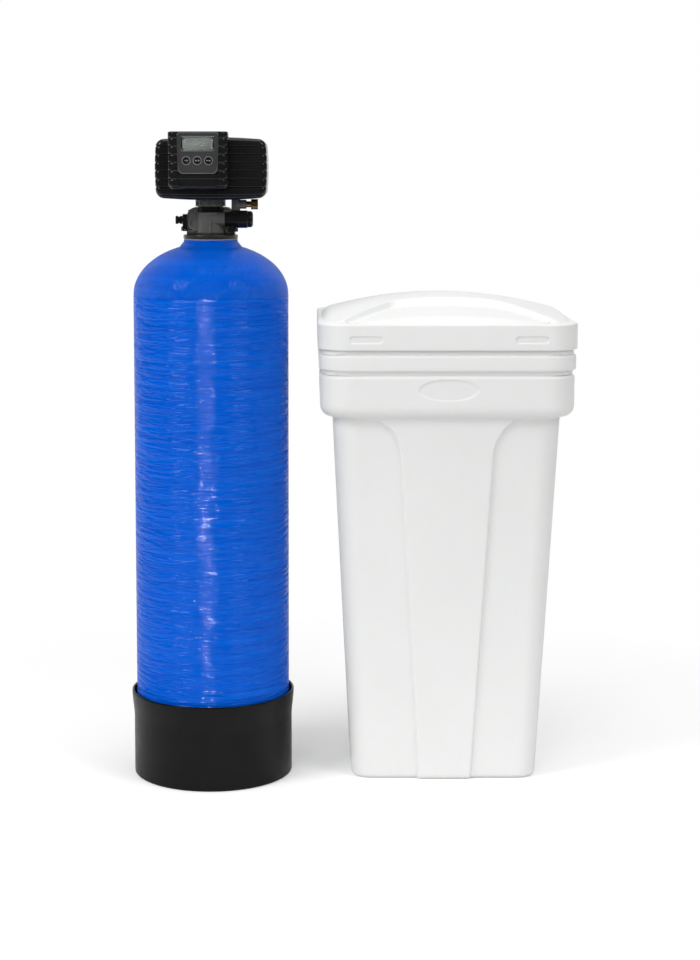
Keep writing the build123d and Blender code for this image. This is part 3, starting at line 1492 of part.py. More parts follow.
def scooped_dome(half, corner, low, wall):
    """The lid's crown, drawn in by a wall: opened over the scoop, down to the scoop's floor."""
    shoulder = dome_fillet - wall
    with BuildPart() as dome:
        add(lid_dome(half, corner, low, dome_top - wall, dome_radius, shoulder))
        add(scoop_cutter(wall), mode=Mode.SUBTRACT)
        add(lid_dome(half, corner, low, dome_top - wall - scoop_depth, scoop_radius, shoulder))
    return dome.part


# Lid: crowned top with a scoop, a band round the rim and two slots in its front
with BuildPart() as lid_band:
    tank_prism(lid_half, lid_corner, lid_low, lid_band_top)
    chamfer(lid_band.edges().group_by(Axis.Z)[0] + lid_band.edges().group_by(Axis.Z)[-1],
            lid_chamfer)

with BuildPart() as brine_lid:
    add(scooped_dome(dome_half, lid_corner - lid_wall, lid_step_height, 0.0))
    add(lid_band.part)
    add(scooped_dome(dome_half - lid_wall, lid_corner - 2 * lid_wall, lid_under - overrun,
                     lid_wall), mode=Mode.SUBTRACT)
    tank_prism(lid_half - lid_wall, lid_corner - lid_wall, lid_low, lid_step_height,
               Mode.SUBTRACT)
    tank_prism(rim_half + seat_gap, collar_corner - tank_wall, lid_step_height, lid_under,
               Mode.SUBTRACT)
    with BuildSketch(front_plane(tank_x, tank_y - lid_half + lid_slot_depth, lid_slot_z)):
        with Locations((-lid_slot_x, 0), (lid_slot_x, 0)):
            SlotOverall(lid_slot_length, lid_slot_height)
    extrude(amount=2 * lid_slot_depth, mode=Mode.SUBTRACT)
save(brine_lid, "brine_lid")

# Brine well with its cap
with BuildPart() as brine_well:
    rod((well_x, well_y, well_foot), UP, well_radius, well_height - well_foot)
    rod((well_x, well_y, well_foot), UP, well_radius - well_wall, well_height - well_foot,
        Mode.SUBTRACT)
    with Locations((well_x, well_y, well_foot)):
        with PolarLocations(well_radius, well_slots):
            Box(3 * well_wall, well_slot_width, well_slot_height, mode=Mode.SUBTRACT)
save(brine_well, "brine_well")

cap_under = well_height + seat_gap
with BuildPart() as well_cap:
    rod((well_x, well_y, well_height - well_cap_skirt), UP, well_cap_radius,
        cap_under + well_cap_thickness - well_height + well_cap_skirt)
    fillet(well_cap.edges().group_by(Axis.Z)[-1], well_cap_thickness / 2)
    rod((well_x, well_y, well_height - well_cap_skirt), UP, well_radius + seat_gap,
        cap_under - well_height + well_cap_skirt, Mode.SUBTRACT)
save(well_cap, "well_cap")

# Salt grid on four tubular legs
body_lean = (body_top_half - foot_half) / body_height
grid_half = foot_half + body_lean * grid_height - tank_wall - grid_margin
grid_top = grid_height + grid_thickness
with BuildPart() as salt_grid:
    tank_prism(grid_half, foot_corner, grid_height, grid_top)
    with Locations((tank_x, tank_y, grid_height + grid_thickness / 2)):
        with GridLocations(grid_hole_pitch, grid_hole_pitch, grid_hole_count, grid_hole_count):
            Cylinder(grid_hole_radius, 2 * grid_thickness, mode=Mode.SUBTRACT)
    leg_places = [(tank_x + a * grid_leg_offset, tank_y + b * grid_leg_offset)
                  for a, b in ((-1, -1), (1, -1), (-1, 1))]
    for x, y in leg_places:
        rod((x, y, well_foot), UP, grid_leg_radius, grid_top - well_foot)
        rod((x, y, well_foot), UP, grid_leg_radius - grid_leg_wall, grid_top - well_foot,
            Mode.SUBTRACT)
    rod((well_x, well_y, grid_height), UP, well_radius + seat_gap, grid_thickness,
        Mode.SUBTRACT)
save(salt_grid, "salt_grid")

# Float on its rod, above the safety valve in the well
with BuildPart() as brine_float:
    rod((well_x, well_y, float_rod_low), UP, float_rod_radius, float_rod_high - float_rod_low)
    rod((well_x, well_y, float_z), UP, float_radius, float_height)
    fillet(brine_float.edges().filter_by(GeomType.CIRCLE).filter_by(
        lambda e: abs(e.radius - float_radius) < match_tolerance), float_radius / 4)
save(brine_float, "brine_float")

well_inner_radius = well_radius - well_wall - seat_gap
arm_reach = math.sqrt(well_inner_radius ** 2 - (safety_bore_radius / 2) ** 2)
with BuildPart() as safety_valve:
    rod((well_x, well_y, well_foot), UP, safety_radius / 2, safety_low)
    rod((well_x, well_y, safety_low), UP, safety_radius, safety_high - safety_low)
    fillet(safety_valve.edges().group_by(Axis.Z)[-1], safety_fillet)
    rod((well_x, well_y, safety_high - safety_fillet), UP, safety_bore_radius,
        guide_length + safety_fillet)
    rod((well_x, well_y, safety_high), UP, float_rod_radius + running_gap, guide_length,
        Mode.SUBTRACT)
    block((well_x - arm_reach, well_y - safety_bore_radius / 2, safety_low + safety_fillet),
          (well_x + arm_reach, well_y + safety_bore_radius / 2, safety_low + 2 * safety_fillet))
save(safety_valve, "safety_valve")


def tank_wall_back(z):
    """Y of the tapered body's back face at a height."""
    return tank_y + foot_half + body_lean * z


# Overflow elbow with its nut, and the grommet for the brine line, in the back wall
overflow_face = tank_wall_back(overflow_z + overflow_flange_radius) + bond_gap
with BuildPart() as overflow_elbow:
    rod((overflow_x, overflow_face, overflow_z), BACK, overflow_flange_radius,
        overflow_flange_height)
    rod((overflow_x, overflow_face + overflow_flange_height, overflow_z), FRONT,
        overflow_tube_radius, overflow_root)
    rod((overflow_x, overflow_face, overflow_z), BACK, overflow_tube_radius, overflow_reach)
    with Locations((overflow_x, overflow_face + overflow_reach, overflow_z)):
        Sphere(overflow_tube_radius)
    rod((overflow_x, overflow_face + overflow_reach, overflow_z), DOWN, overflow_tube_radius,
        overflow_drop)
    rod((overflow_x, overflow_face + overflow_reach, overflow_z), DOWN, overflow_bore_radius,
        overflow_drop, Mode.SUBTRACT)
    rod((overflow_x, overflow_face + overflow_reach, overflow_z), FRONT, overflow_bore_radius,
        overflow_reach + overflow_root, Mode.SUBTRACT)
save(overflow_elbow, "overflow_elbow")

nut_face = tank_wall_back(overflow_z - overflow_nut_across) - tank_wall - bond_gap
with BuildPart() as overflow_nut:
    hexagon_bar((overflow_x, nut_face, overflow_z), FRONT, overflow_nut_across,
                overflow_nut_height)
    rod((overflow_x, nut_face, overflow_z), FRONT, overflow_tube_radius + bond_gap,
        overflow_nut_height, Mode.SUBTRACT)
save(overflow_nut, "overflow_nut")

grommet_face = tank_y + collar_half + bond_gap
with BuildPart() as line_grommet:
    rod((line_hole_x, grommet_face, line_hole_z), BACK, grommet_flange_radius,
        grommet_flange_height)
    rod((line_hole_x, grommet_face, line_hole_z), FRONT, line_hole_radius - bond_gap,
        grommet_root)
    rod((line_hole_x, grommet_face + grommet_flange_height, line_hole_z), FRONT,
        grommet_bore_radius, grommet_root + grommet_flange_height, Mode.SUBTRACT)
save(line_grommet, "line_grommet")
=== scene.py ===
import math

import bmesh
import bpy
from bpy.props import FloatProperty, FloatVectorProperty, IntProperty, PointerProperty
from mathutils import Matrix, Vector


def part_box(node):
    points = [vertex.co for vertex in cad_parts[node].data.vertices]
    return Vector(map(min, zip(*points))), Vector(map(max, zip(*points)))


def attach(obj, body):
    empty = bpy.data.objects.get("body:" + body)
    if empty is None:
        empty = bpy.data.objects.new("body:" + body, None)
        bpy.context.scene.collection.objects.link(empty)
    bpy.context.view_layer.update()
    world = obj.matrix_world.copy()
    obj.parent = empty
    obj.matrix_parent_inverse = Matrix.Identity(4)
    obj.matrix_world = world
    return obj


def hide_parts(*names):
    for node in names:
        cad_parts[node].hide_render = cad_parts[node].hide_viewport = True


bl_info = {
    "name": "Water softener looks",
    "version": (1, 0, 0),
    "blender": (4, 5, 0),
    "location": "View3D > Sidebar > Softener",
    "description": "Dresses the water softener's solids: wound vessel, valve, head and brine tank",
    "category": "Object",
}

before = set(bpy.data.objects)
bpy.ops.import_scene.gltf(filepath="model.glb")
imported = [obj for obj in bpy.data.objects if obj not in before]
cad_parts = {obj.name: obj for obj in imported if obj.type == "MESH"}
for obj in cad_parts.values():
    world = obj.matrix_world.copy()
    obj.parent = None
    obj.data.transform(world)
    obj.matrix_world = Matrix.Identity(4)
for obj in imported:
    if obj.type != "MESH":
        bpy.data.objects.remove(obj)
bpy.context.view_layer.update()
MM = 0.001


def box_mm(node):
    """Lowest and highest corner of a solid, in millimetres."""
    low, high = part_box(node)
    return [c / MM for c in low], [c / MM for c in high]


SHELL_LOW, SHELL_HIGH = box_mm("vessel_shell")
BOOT_LOW, BOOT_HIGH = box_mm("vessel_boot")
TANK_LOW, TANK_HIGH = box_mm("brine_tank")
LID_LOW, LID_HIGH = box_mm("brine_lid")
PLATE_LOW, PLATE_HIGH = box_mm("faceplate")
LENS_LOW, LENS_HIGH = box_mm("display_lens")
# Height of the cover's lowest groove and the way from groove to groove
COVER_GROOVE, COVER_PITCH = 984.35, 13.15
# Height of the flange's top, and the height over which the painted shade on the flange fades out
# above it
FLANGE_TOP, FLANGE_SHADE_FADE = 907.5, 4.0
TANK_X = (TANK_LOW[0] + TANK_HIGH[0]) / 2
TANK_Y = (TANK_LOW[1] + TANK_HIGH[1]) / 2


# Settings


class SoftenerVesselSettings(bpy.types.PropertyGroup):
    """Sizes and colours of the wound vessel and its boot."""

    radius: FloatProperty(
        name="Vessel radius", description="Outside radius of the wound cylinder",
        default=SHELL_HIGH[0] * MM, unit="LENGTH",
    )
    seam_height: FloatProperty(
        name="Seam height", description="Height at which the hoop windings end",
        default=0.805, unit="LENGTH",
    )
    hoop_relief: FloatProperty(
        name="Hoop relief", description="How far the hoop windings stand out and in",
        default=0.0009, unit="LENGTH", precision=5,
    )
    dome_relief: FloatProperty(
        name="Dome relief", description="How far the crossing strands on the dome stand out",
        default=0.00035, unit="LENGTH", precision=5,
    )
    segments: IntProperty(
        name="Segments", description="Steps round the vessel", default=240, min=48, max=300,
    )
    blue: FloatVectorProperty(
        name="Vessel blue", description="Colour of the pigmented resin", subtype="COLOR",
        size=3, default=(0.0, 0.098, 0.62), min=0, max=1,
    )
    boot_black: FloatVectorProperty(
        name="Boot black", description="Colour of the moulded boot", subtype="COLOR",
        size=3, default=(0.004, 0.004, 0.0042), min=0, max=1,
    )


class SoftenerTankSettings(bpy.types.PropertyGroup):
    """Sizes and colours of the brine tank and its lid."""

    panel_proud: FloatProperty(
        name="Panel height", description="How far the raised panels stand out of the body",
        default=0.0058, unit="LENGTH", precision=4,
    )
    edge_softness: FloatProperty(
        name="Edge softness", description="Width over which a moulded edge rounds off",
        default=0.0032, unit="LENGTH", precision=4,
    )
    recess_depth: FloatProperty(
        name="Recess depth", description="Depth of the oval recess and of the lid's slots",
        default=0.0018, unit="LENGTH", precision=4,
    )
    white: FloatVectorProperty(
        name="Tank white", description="Colour of the moulded polyethylene", subtype="COLOR",
        size=3, default=(0.84, 0.84, 0.835), min=0, max=1,
    )


class SoftenerHeadSettings(bpy.types.PropertyGroup):
    """Sizes and colours of the head with its display."""

    rim_width: FloatProperty(
        name="Faceplate rim", description="Width of the faceplate's raised rim",
        default=0.0017, unit="LENGTH", precision=4,
    )
    symbol_width: FloatProperty(
        name="Symbol line", description="Line width of the button symbols",
        default=0.0009, unit="LENGTH", precision=4,
    )
    cover_black: FloatVectorProperty(
        name="Cover black", description="Colour of the head cover", subtype="COLOR",
        size=3, default=(0.01, 0.01, 0.0104), min=0, max=1,
    )
    faceplate_grey: FloatVectorProperty(
        name="Faceplate grey", description="Colour of the faceplate", subtype="COLOR",
        size=3, default=(0.042, 0.042, 0.044), min=0, max=1,
    )
    valve_grey: FloatVectorProperty(
        name="Valve grey", description="Colour of the valve body's filled plastic",
        subtype="COLOR", size=3, default=(0.115, 0.113, 0.111), min=0, max=1,
    )


class SoftenerStageSettings(bpy.types.PropertyGroup):
    """Camera, light and floor."""

    lens: FloatProperty(name="Lens", description="Focal length in mm", default=74.46)
    pitch: FloatProperty(
        name="Camera pitch", description="How far the camera looks down",
        default=0.1106, subtype="ANGLE",
    )
    ambient: FloatProperty(
        name="Ambient light", description="Strength of the studio's soft all-round light",
        default=0.46,
    )
    key: FloatProperty(
        name="Key light", description="Power of the left box; the other lamps follow it",
        default=36.0, unit="POWER",
    )
    sparkle: FloatProperty(
        name="Strip light", description="Power of the strip that the windings mirror, as a "
        "share of the key light", default=4.2,
    )
    room: FloatProperty(
        name="Dim room", description="How bright the room in front is where it is mirrored",
        default=0.03,
    )
    floor_fill: FloatProperty(
        name="Floor fill", description="Light added to the floor where it is seen",
        default=0.22,
    )
    floor_white: FloatVectorProperty(
        name="Floor", description="Colour of the floor", subtype="COLOR", size=3,
        default=(0.95, 0.95, 0.95), min=0, max=1,
    )


def settings(group):
    """One of the four groups of settings, which the scene holds."""
    return getattr(bpy.context.scene, "softener_" + group)


# Materials


def add_node(tree, kind, **values):
    """A new node; each value is a setting of it, or an input's default or source."""
    made = tree.nodes.new(kind)
    for key, value in values.items():
        if hasattr(made, key):
            setattr(made, key, value)
        elif isinstance(value, bpy.types.NodeSocket):
            tree.links.new(value, made.inputs[key.replace("_", " ")])
        else:
            made.inputs[key.replace("_", " ")].default_value = value
    return made


def add_maths(tree, operation, a, b):
    """The result of a maths node on two values, each a number or a socket."""
    made = add_node(tree, "ShaderNodeMath", operation=operation)
    for socket, value in zip(made.inputs, (a, b)):
        if isinstance(value, (int, float)):
            socket.default_value = value
        else:
            tree.links.new(value, socket)
    return made.outputs["Value"]


class Finish:
    """Builds one material's node tree, from shader to texture."""

    def __init__(self, name):
        self.material = bpy.data.materials.new(name)
        self.material.use_nodes = True
        self.tree = self.material.node_tree
        self.shader = self.tree.nodes["Principled BSDF"]
        self.where = self.tree.nodes.new("ShaderNodeTexCoord")

    def link(self, a, b):
        self.tree.links.new(a, b)

    def node(self, kind, **values):
        return add_node(self.tree, kind, **values)

    def set(self, **values):
        for key, value in values.items():
            self.shader.inputs[key.replace("_", " ")].default_value = value

    def apart(self):
        """The three Object coordinates, each as a value."""
        return self.node("ShaderNodeSeparateXYZ", Vector=self.where.outputs["Object"]).outputs

    def noise(self, stretch, detail=3.0, source=None, roughness=0.55):
        """Noise on Object coordinates, stretched along the three axes."""
        mapping = self.node("ShaderNodeMapping", Scale=stretch,
                            Vector=source or self.where.outputs["Object"])
        return self.node("ShaderNodeTexNoise", Scale=1.0, Detail=detail, Roughness=roughness,
                         Vector=mapping.outputs["Vector"]).outputs["Fac"]

    def ramp(self, value, low, high, to_low=0.0, to_high=1.0):
        """A value's range stretched to another, and held inside it."""
        return self.node("ShaderNodeMapRange", Value=value, From_Min=low, From_Max=high,
                         To_Min=to_low, To_Max=to_high).outputs["Result"]

    def maths(self, operation, a, b):
        return add_maths(self.tree, operation, a, b)

    def mix_colour(self, factor, a, b):
        node = self.node("ShaderNodeMix", data_type="RGBA")
        self.link(factor, node.inputs[0])
        for socket, value in ((node.inputs[6], a), (node.inputs[7], b)):
            if isinstance(value, bpy.types.NodeSocket):
                self.link(value, socket)
            else:
                socket.default_value = (*value, 1.0)
        return node.outputs[2]

    def drift(self, cloud, colour, low, high):
        """A colour that drifts between a darker and a lighter shade of itself."""
        return self.mix_colour(self.ramp(cloud, 0.35, 0.65), shade(colour, low),
                               shade(colour, high))

    def colour(self, value):
        self.link(value, self.shader.inputs["Base Color"])

    def roughness(self, value):
        self.link(value, self.shader.inputs["Roughness"])

    def bump(self, height, distance, strength=1.0, after=None):
        """Adds relief to the shading; distance is in metres."""
        node = self.node("ShaderNodeBump", Strength=strength, Distance=distance, Height=height)
        if after is not None:
            self.link(after, node.inputs["Normal"])
        self.link(node.outputs["Normal"], self.shader.inputs["Normal"])
        return node.outputs["Normal"]


def shade(colour, factor):
    """A colour made darker or lighter."""
    return tuple(min(1.0, c * factor) for c in colour)


def moulded(name, colour, rough, grain=900.0, depth=0.00004, spread=0.12, specular=0.3):
    """Moulded plastic: cloudy colour, fine grain and a little uneven gloss."""
    f = Finish(name)
    f.colour(f.drift(f.noise((18, 18, 18), detail=4), colour, 1 - spread, 1 + spread))
    f.roughness(f.ramp(f.noise((60, 60, 60)), 0.3, 0.7, rough - 0.05, rough + 0.05))
    f.bump(f.noise((grain, grain, grain), detail=2), depth)
    f.set(Specular_IOR_Level=specular)
    return f.material


def filled_plastic():
    """The valve's filled plastic, with painted shade: near black up to the flange's top, its own
    grey from just above it.
    """
    f = Finish("valve_filled_plastic")
    grey = tuple(settings("head").valve_grey)
    cloud = f.noise((25, 25, 25), detail=4)
    # Painted shade: up to the flange's top the plastic is painted near black
    above = f.ramp(f.apart()["Z"], FLANGE_TOP * MM, (FLANGE_TOP + FLANGE_SHADE_FADE) * MM)
    f.colour(f.mix_colour(above, shade(grey, 0.2), f.drift(cloud, grey, 0.82, 1.18)))
    f.roughness(f.ramp(cloud, 0.3, 0.7, 0.27, 0.37))
    f.bump(f.noise((500, 500, 500), detail=2), 0.00003)
    f.set(Specular_IOR_Level=0.7)
    return f.material


def ribbed_cover():
    """Gloss black cover whose bands between the grooves are a little crowned."""
    f = Finish("cover_ribbed_black")
    black = tuple(settings("head").cover_black)
    f.colour(f.drift(f.noise((18, 18, 18), detail=4), black, 0.85, 1.15))
    turn = f.maths("DIVIDE", f.maths("SUBTRACT", f.apart()["Z"], COVER_GROOVE * MM),
                   COVER_PITCH * MM)
    side = f.maths("MULTIPLY", f.maths("SUBTRACT", f.maths("FRACT", turn, 0.0), 0.5), 2.0)
    crown = f.maths("SUBTRACT", 1.0, f.maths("POWER", f.maths("ABSOLUTE", side, 0.0), 5.0))
    f.roughness(f.ramp(f.noise((60, 60, 60)), 0.3, 0.7, 0.16, 0.24))
    f.bump(crown, 0.0012)
    f.set(Specular_IOR_Level=0.35)
    return f.material


def machined(name, colour, rough, stretch):
    """Turned or drawn metal: fine lines along one way and dull patches."""
    f = Finish(name)
    cloud = f.noise((70, 70, 70), detail=4)
    f.colour(f.mix_colour(f.ramp(cloud, 0.35, 0.7), shade(colour, 0.8), colour))
    f.roughness(f.ramp(cloud, 0.3, 0.7, rough - 0.07, rough + 0.1))
    f.bump(f.noise(stretch, detail=3), 0.00003)
    f.set(Metallic=1.0)
    return f.material


def crossing_strands(f, name):
    """Relief of one set of the dome's strands: broad bands with fine ridges."""
    along = f.node("ShaderNodeAttribute", attribute_name=name).outputs["Vector"]
    bands = f.noise((14, 14, 6), detail=2, source=along)
    lines = f.noise((62, 62, 14), detail=3, source=along)
    away = f.maths("ABSOLUTE", f.maths("SUBTRACT", lines, 0.5), 0.0)
    ridge = f.ramp(away, 0.0, 0.05, 1.0, 0.0)
    return f.maths("ADD", f.maths("MULTIPLY", bands, 0.16), f.maths("MULTIPLY", ridge, 0.12))


PALE_BLUE, DEEP_BLUE = (0.0, 0.15, 0.78), (0.0, 0.045, 0.42)
# What diffuse rays see of the vessel, so that it doesn't tint the white tank
BOUNCED_BLUE = (0.25, 0.27, 0.3)


def wound_blue():
    """Pigmented resin over hoop windings on the cylinder and crossing strands on the dome."""
    s = settings("vessel")
    blue = tuple(s.blue)
    f = Finish("wound_vessel_blue")
    hoop = f.node("ShaderNodeAttribute", attribute_name="hoop").outputs["Fac"]
    streak = f.noise((8, 8, 150), detail=1, roughness=0.5)
    thread = f.maths("MULTIPLY", f.noise((38, 38, 800), detail=1), 0.05)
    dash = f.maths("MULTIPLY", f.noise((34, 34, 230), detail=1), 0.5)
    hoops = f.maths("ADD", f.maths("MULTIPLY", streak, 0.62), f.maths("ADD", thread, dash))
    strands = f.maths("MAXIMUM", crossing_strands(f, "helix_a"),
                      crossing_strands(f, "helix_b"))
    height = f.maths("ADD", f.maths("MULTIPLY", hoops, hoop),
                     f.maths("MULTIPLY", strands, f.maths("SUBTRACT", 1.0, hoop)))
    tone = f.noise((7, 7, 160), detail=5, roughness=0.65)
    pale = f.maths("MULTIPLY", f.ramp(tone, 0.5, 0.78), 0.55)
    deep = f.ramp(tone, 0.24, 0.5, 1.0, 0.0)
    mixed = f.mix_colour(pale, blue, PALE_BLUE)
    seen = f.mix_colour(f.maths("MULTIPLY", deep, 0.45), mixed, DEEP_BLUE)
    bounced = f.node("ShaderNodeLightPath").outputs["Is Diffuse Ray"]
    f.colour(f.mix_colour(bounced, seen, BOUNCED_BLUE))
    f.roughness(f.ramp(streak, 0.3, 0.7, 0.35, 0.5))
    f.link(f.bump(height, 0.009), f.shader.inputs["Coat Normal"])
    f.bump(height, 0.0022)
    f.set(Coat_Weight=0.34, Coat_Roughness=0.04, Specular_IOR_Level=0.0)
    return f.material


def satin_white():
    """Rotationally moulded polyethylene: milky, faintly mottled, satin."""
    white = tuple(settings("tank").white)
    f = Finish("tank_satin_white")
    cloud = f.noise((6, 6, 4), detail=5)
    mottle = f.noise((130, 130, 130), detail=2)
    f.colour(f.drift(cloud, white, 0.985, 1.01))
    f.roughness(f.ramp(mottle, 0.3, 0.7, 0.4, 0.5))
    first = f.bump(f.noise((420, 420, 420), detail=2), 0.00003)
    f.bump(cloud, 0.0012, strength=0.35, after=first)
    f.set(Specular_IOR_Level=0.4, Subsurface_Weight=0.08, Subsurface_Scale=0.006)
    return f.material


CRYSTAL_LIT, CRYSTAL_SHADE = (0.135, 0.146, 0.14), (0.07, 0.077, 0.073)
CRYSTAL_GRAIN = (0.12, 0.14, 0.125)


def liquid_crystal():
    """Grey-green display, a little darker towards one lower corner."""
    f = Finish("liquid_crystal_panel")
    place = f.apart()
    across = f.ramp(place["X"], LENS_LOW[0] * MM, LENS_HIGH[0] * MM)
    down = f.ramp(place["Z"], LENS_HIGH[2] * MM, LENS_LOW[2] * MM)
    corner = f.ramp(f.maths("ADD", across, down), 1.0, 2.0)
    lit = f.mix_colour(corner, CRYSTAL_LIT, CRYSTAL_SHADE)
    grain = f.noise((700, 700, 700), detail=1)
    f.colour(f.mix_colour(f.maths("MULTIPLY", grain, 0.12), lit, CRYSTAL_GRAIN))
    f.bump(grain, 0.00001)
    f.set(Roughness=0.35)
    return f.material


def clear_lens():
    """Clear moulded window with a faint haze."""
    f = Finish("display_window_clear")
    haze = f.noise((90, 90, 90), detail=3)
    f.roughness(f.ramp(haze, 0.3, 0.7, 0.03, 0.09))
    f.bump(haze, 0.00001)
    f.set(Base_Color=(0.93, 0.96, 0.93, 1.0), Transmission_Weight=1.0, IOR=1.1,
          Specular_IOR_Level=0.3)
    return f.material


def beads(name, colour, size, dark):
    """A packed bed of stones or beads, with painted shade: each one darker towards its edge,
    between the beads.
    """
    f = Finish(name)
    cell = f.node("ShaderNodeTexVoronoi", Scale=1.0 / size, feature="F1",
                  Vector=f.where.outputs["Object"])
    # Painted shade: towards the edge of each cell the colour turns to the dark one
    f.colour(f.mix_colour(f.ramp(cell.outputs["Distance"], 0.2, 0.8), colour, dark))
    f.bump(f.maths("SUBTRACT", 1.0, cell.outputs["Distance"]), size)
    f.set(Roughness=0.45)
    return f.material


def boot_black():
    """Satin black of the boot, faintly mottled."""
    return moulded("boot_satin_black", tuple(settings("vessel").boot_black), 0.34, grain=500,
                   depth=0.00006, spread=0.2, specular=0.18)


def plate_grey():
    """Satin grey of the faceplate."""
    return moulded("faceplate_satin_grey", tuple(settings("head").faceplate_grey), 0.42,
                   grain=1500, depth=0.00002, spread=0.06)


def dark_plastic():
    """Near-black, glossy plastic of the valve's small fittings."""
    return moulded("valve_dark_plastic", shade(tuple(settings("head").valve_grey), 0.09), 0.22,
                   grain=500, depth=0.00002)


# Plain mouldings: name, colour, roughness and what differs from the usual plastic
PLASTICS = {
    "rim": ("faceplate_rim_grey", (0.2, 0.2, 0.205), 0.35, {"depth": 0.00002, "spread": 0.06}),
    "bezel": ("window_edge_grey", (0.3, 0.31, 0.3), 0.35, {"depth": 0.00002}),
    "ring": ("button_ring_grey", (0.26, 0.26, 0.27), 0.3, {"depth": 0.00002}),
    "button": ("button_gloss_black", (0.01, 0.01, 0.011), 0.22, {"depth": 0.00002}),
    "symbol": ("symbol_white", (0.78, 0.78, 0.78), 0.5, {"depth": 0.00002, "spread": 0.03}),
    "gasket": ("gasket_buff", (0.5, 0.38, 0.27), 0.6, {"spread": 0.08}),
    "liner": ("liner_natural_white", (0.78, 0.78, 0.75), 0.45, {}),
    "piston": ("piston_low_friction", (0.28, 0.22, 0.16), 0.35, {}),
    "rubber": ("seal_soft_black", (0.018, 0.018, 0.018), 0.6, {}),
    "gear": ("gear_acetal_white", (0.72, 0.72, 0.7), 0.35, {}),
    "board": ("board_lacquer_green", (0.012, 0.14, 0.04), 0.25, {}),
    "grid": ("grid_white", (0.74, 0.75, 0.74), 0.45, {}),
}
# All other finishes: what makes them, and with what
MAKERS = {
    "vessel": (wound_blue,), "boot": (boot_black,), "tank": (satin_white,),
    "cover": (ribbed_cover,), "plate": (plate_grey,), "valve": (filled_plastic,),
    "valve_dark": (dark_plastic,), "panel": (liquid_crystal,), "window": (clear_lens,),
    "brass": (machined, "brass_turned", (0.72, 0.48, 0.17), 0.3, (60, 900, 60)),
    "steel": (machined, "steel_plated", (0.62, 0.62, 0.63), 0.3, (60, 60, 900)),
    # The last colour of the gravel and of the resin is their painted shade between the beads
    "gravel": (beads, "gravel_quartz", (0.55, 0.5, 0.42), 0.005, (0.2, 0.17, 0.14)),
    "resin": (beads, "resin_beads_amber", (0.6, 0.3, 0.07), 0.0016, (0.25, 0.1, 0.02)),
}
_finishes = {}


def finish_of(key):
    """A material by its name in the two tables above, made once."""
    if key not in _finishes:
        if key in PLASTICS:
            name, colour, rough, differs = PLASTICS[key]
            _finishes[key] = moulded(name, colour, rough, **differs)
        else:
            maker, *given = MAKERS[key]
            _finishes[key] = maker(*given)
    return _finishes[key]


def dress(finish, *nodes):
    """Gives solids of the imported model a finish."""
    for node in nodes:
        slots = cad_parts[node].data.materials
        slots.clear()
        slots.append(finish_of(finish))


# Mesh makers


WELD = 1e-7


def add_piece(name, mesh, body, sharp, weld=False):
    """Turns a mesh's faces outwards, smooths it and lets it ride on a body as a piece."""
    work = bmesh.new()
    work.from_mesh(mesh)
    if weld:
        bmesh.ops.remove_doubles(work, verts=work.verts, dist=WELD)
    if work.calc_volume(signed=True) < 0:
        bmesh.ops.reverse_faces(work, faces=work.faces)
    work.to_mesh(mesh)
    work.free()
    mesh.shade_smooth()
    mesh.set_sharp_from_angle(angle=math.radians(sharp))
    piece = bpy.data.objects.new(name, mesh)
    bpy.context.scene.collection.objects.link(piece)
    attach(piece, body)
    return piece


def new_piece(name, points, faces, finish, body, sharp=38.0):
    """A closed mesh, with its points in millimetres, that rides on a body."""
    mesh = bpy.data.meshes.new(name)
    mesh.from_pydata([tuple(c * MM for c in p) for p in points], [], faces)
    mesh.materials.append(finish)
    return add_piece(name, mesh, body, sharp, weld=True)


def ring_faces(ring_sizes):
    """Faces between rings of points; a ring of one point closes the form."""
    faces, start = [], 0
    for a, b in zip(ring_sizes, ring_sizes[1:]):
        low, high = start, start + a
        count = max(a, b)
        for i in range(count):
            j = (i + 1) % count
            if a == 1:
                faces.append((low, high + j, high + i))
            elif b == 1:
                faces.append((low + i, low + j, high))
            else:
                faces.append((low + i, low + j, high + j, high + i))
        start = high
    return faces


def lathe(profile, segments):
    """Points and faces of a closed profile of (radius, height) turned about the Z axis."""
    points, sizes = [], []
    for radius, height in profile:
        if radius == 0:
            points.append((0.0, 0.0, height))
            sizes.append(1)
            continue
        for i in range(segments):
            turn = 2 * math.pi * i / segments
            points.append((radius * math.cos(turn), radius * math.sin(turn), height))
        sizes.append(segments)
    return points, ring_faces(sizes)


def steps(start, end, count):
    """Even steps from a start, which is left out, to an end, which is kept."""
    return [start + (end - start) * (i + 1) / count for i in range(count)]


def arc(start, end, step):
    """Angles in radians from one whole number of degrees to another, both kept."""
    return [math.radians(a) for a in range(start, end + (1 if step > 0 else -1), step)]


def corner_arc(centre_r, centre_z, radius, from_deg, to_deg, count):
    """Points of a round corner in a profile."""
    return [(centre_r + radius * math.cos(math.radians(a)),
             centre_z + radius * math.sin(math.radians(a)))
            for a in (from_deg + (to_deg - from_deg) * i / count for i in range(count + 1))]


def soft_min(a, b, width):
    """The lower of two heights, with a round joint between them."""
    share = max(0.0, min(1.0, 0.5 + (b - a) / (2 * width)))
    return b + (a - b) * share - width * share * (1 - share)


def soft_step(value, width):
    """0 to 1 across a width centred on zero."""
    share = max(0.0, min(1.0, 0.5 + value / width))
    return share * share * (3 - 2 * share)


# Node trees


def named_tree(name, inputs):
    """A geometry node tree with a geometry input and output and the named sizes."""
    tree = bpy.data.node_groups.new(name, "GeometryNodeTree")
    face = tree.interface
    face.new_socket("Geometry", in_out="INPUT", socket_type="NodeSocketGeometry")
    for label, kind in inputs:
        face.new_socket(label, in_out="INPUT", socket_type=kind)
    face.new_socket("Geometry", in_out="OUTPUT", socket_type="NodeSocketGeometry")
    return tree, tree.nodes.new("NodeGroupInput"), tree.nodes.new("NodeGroupOutput")


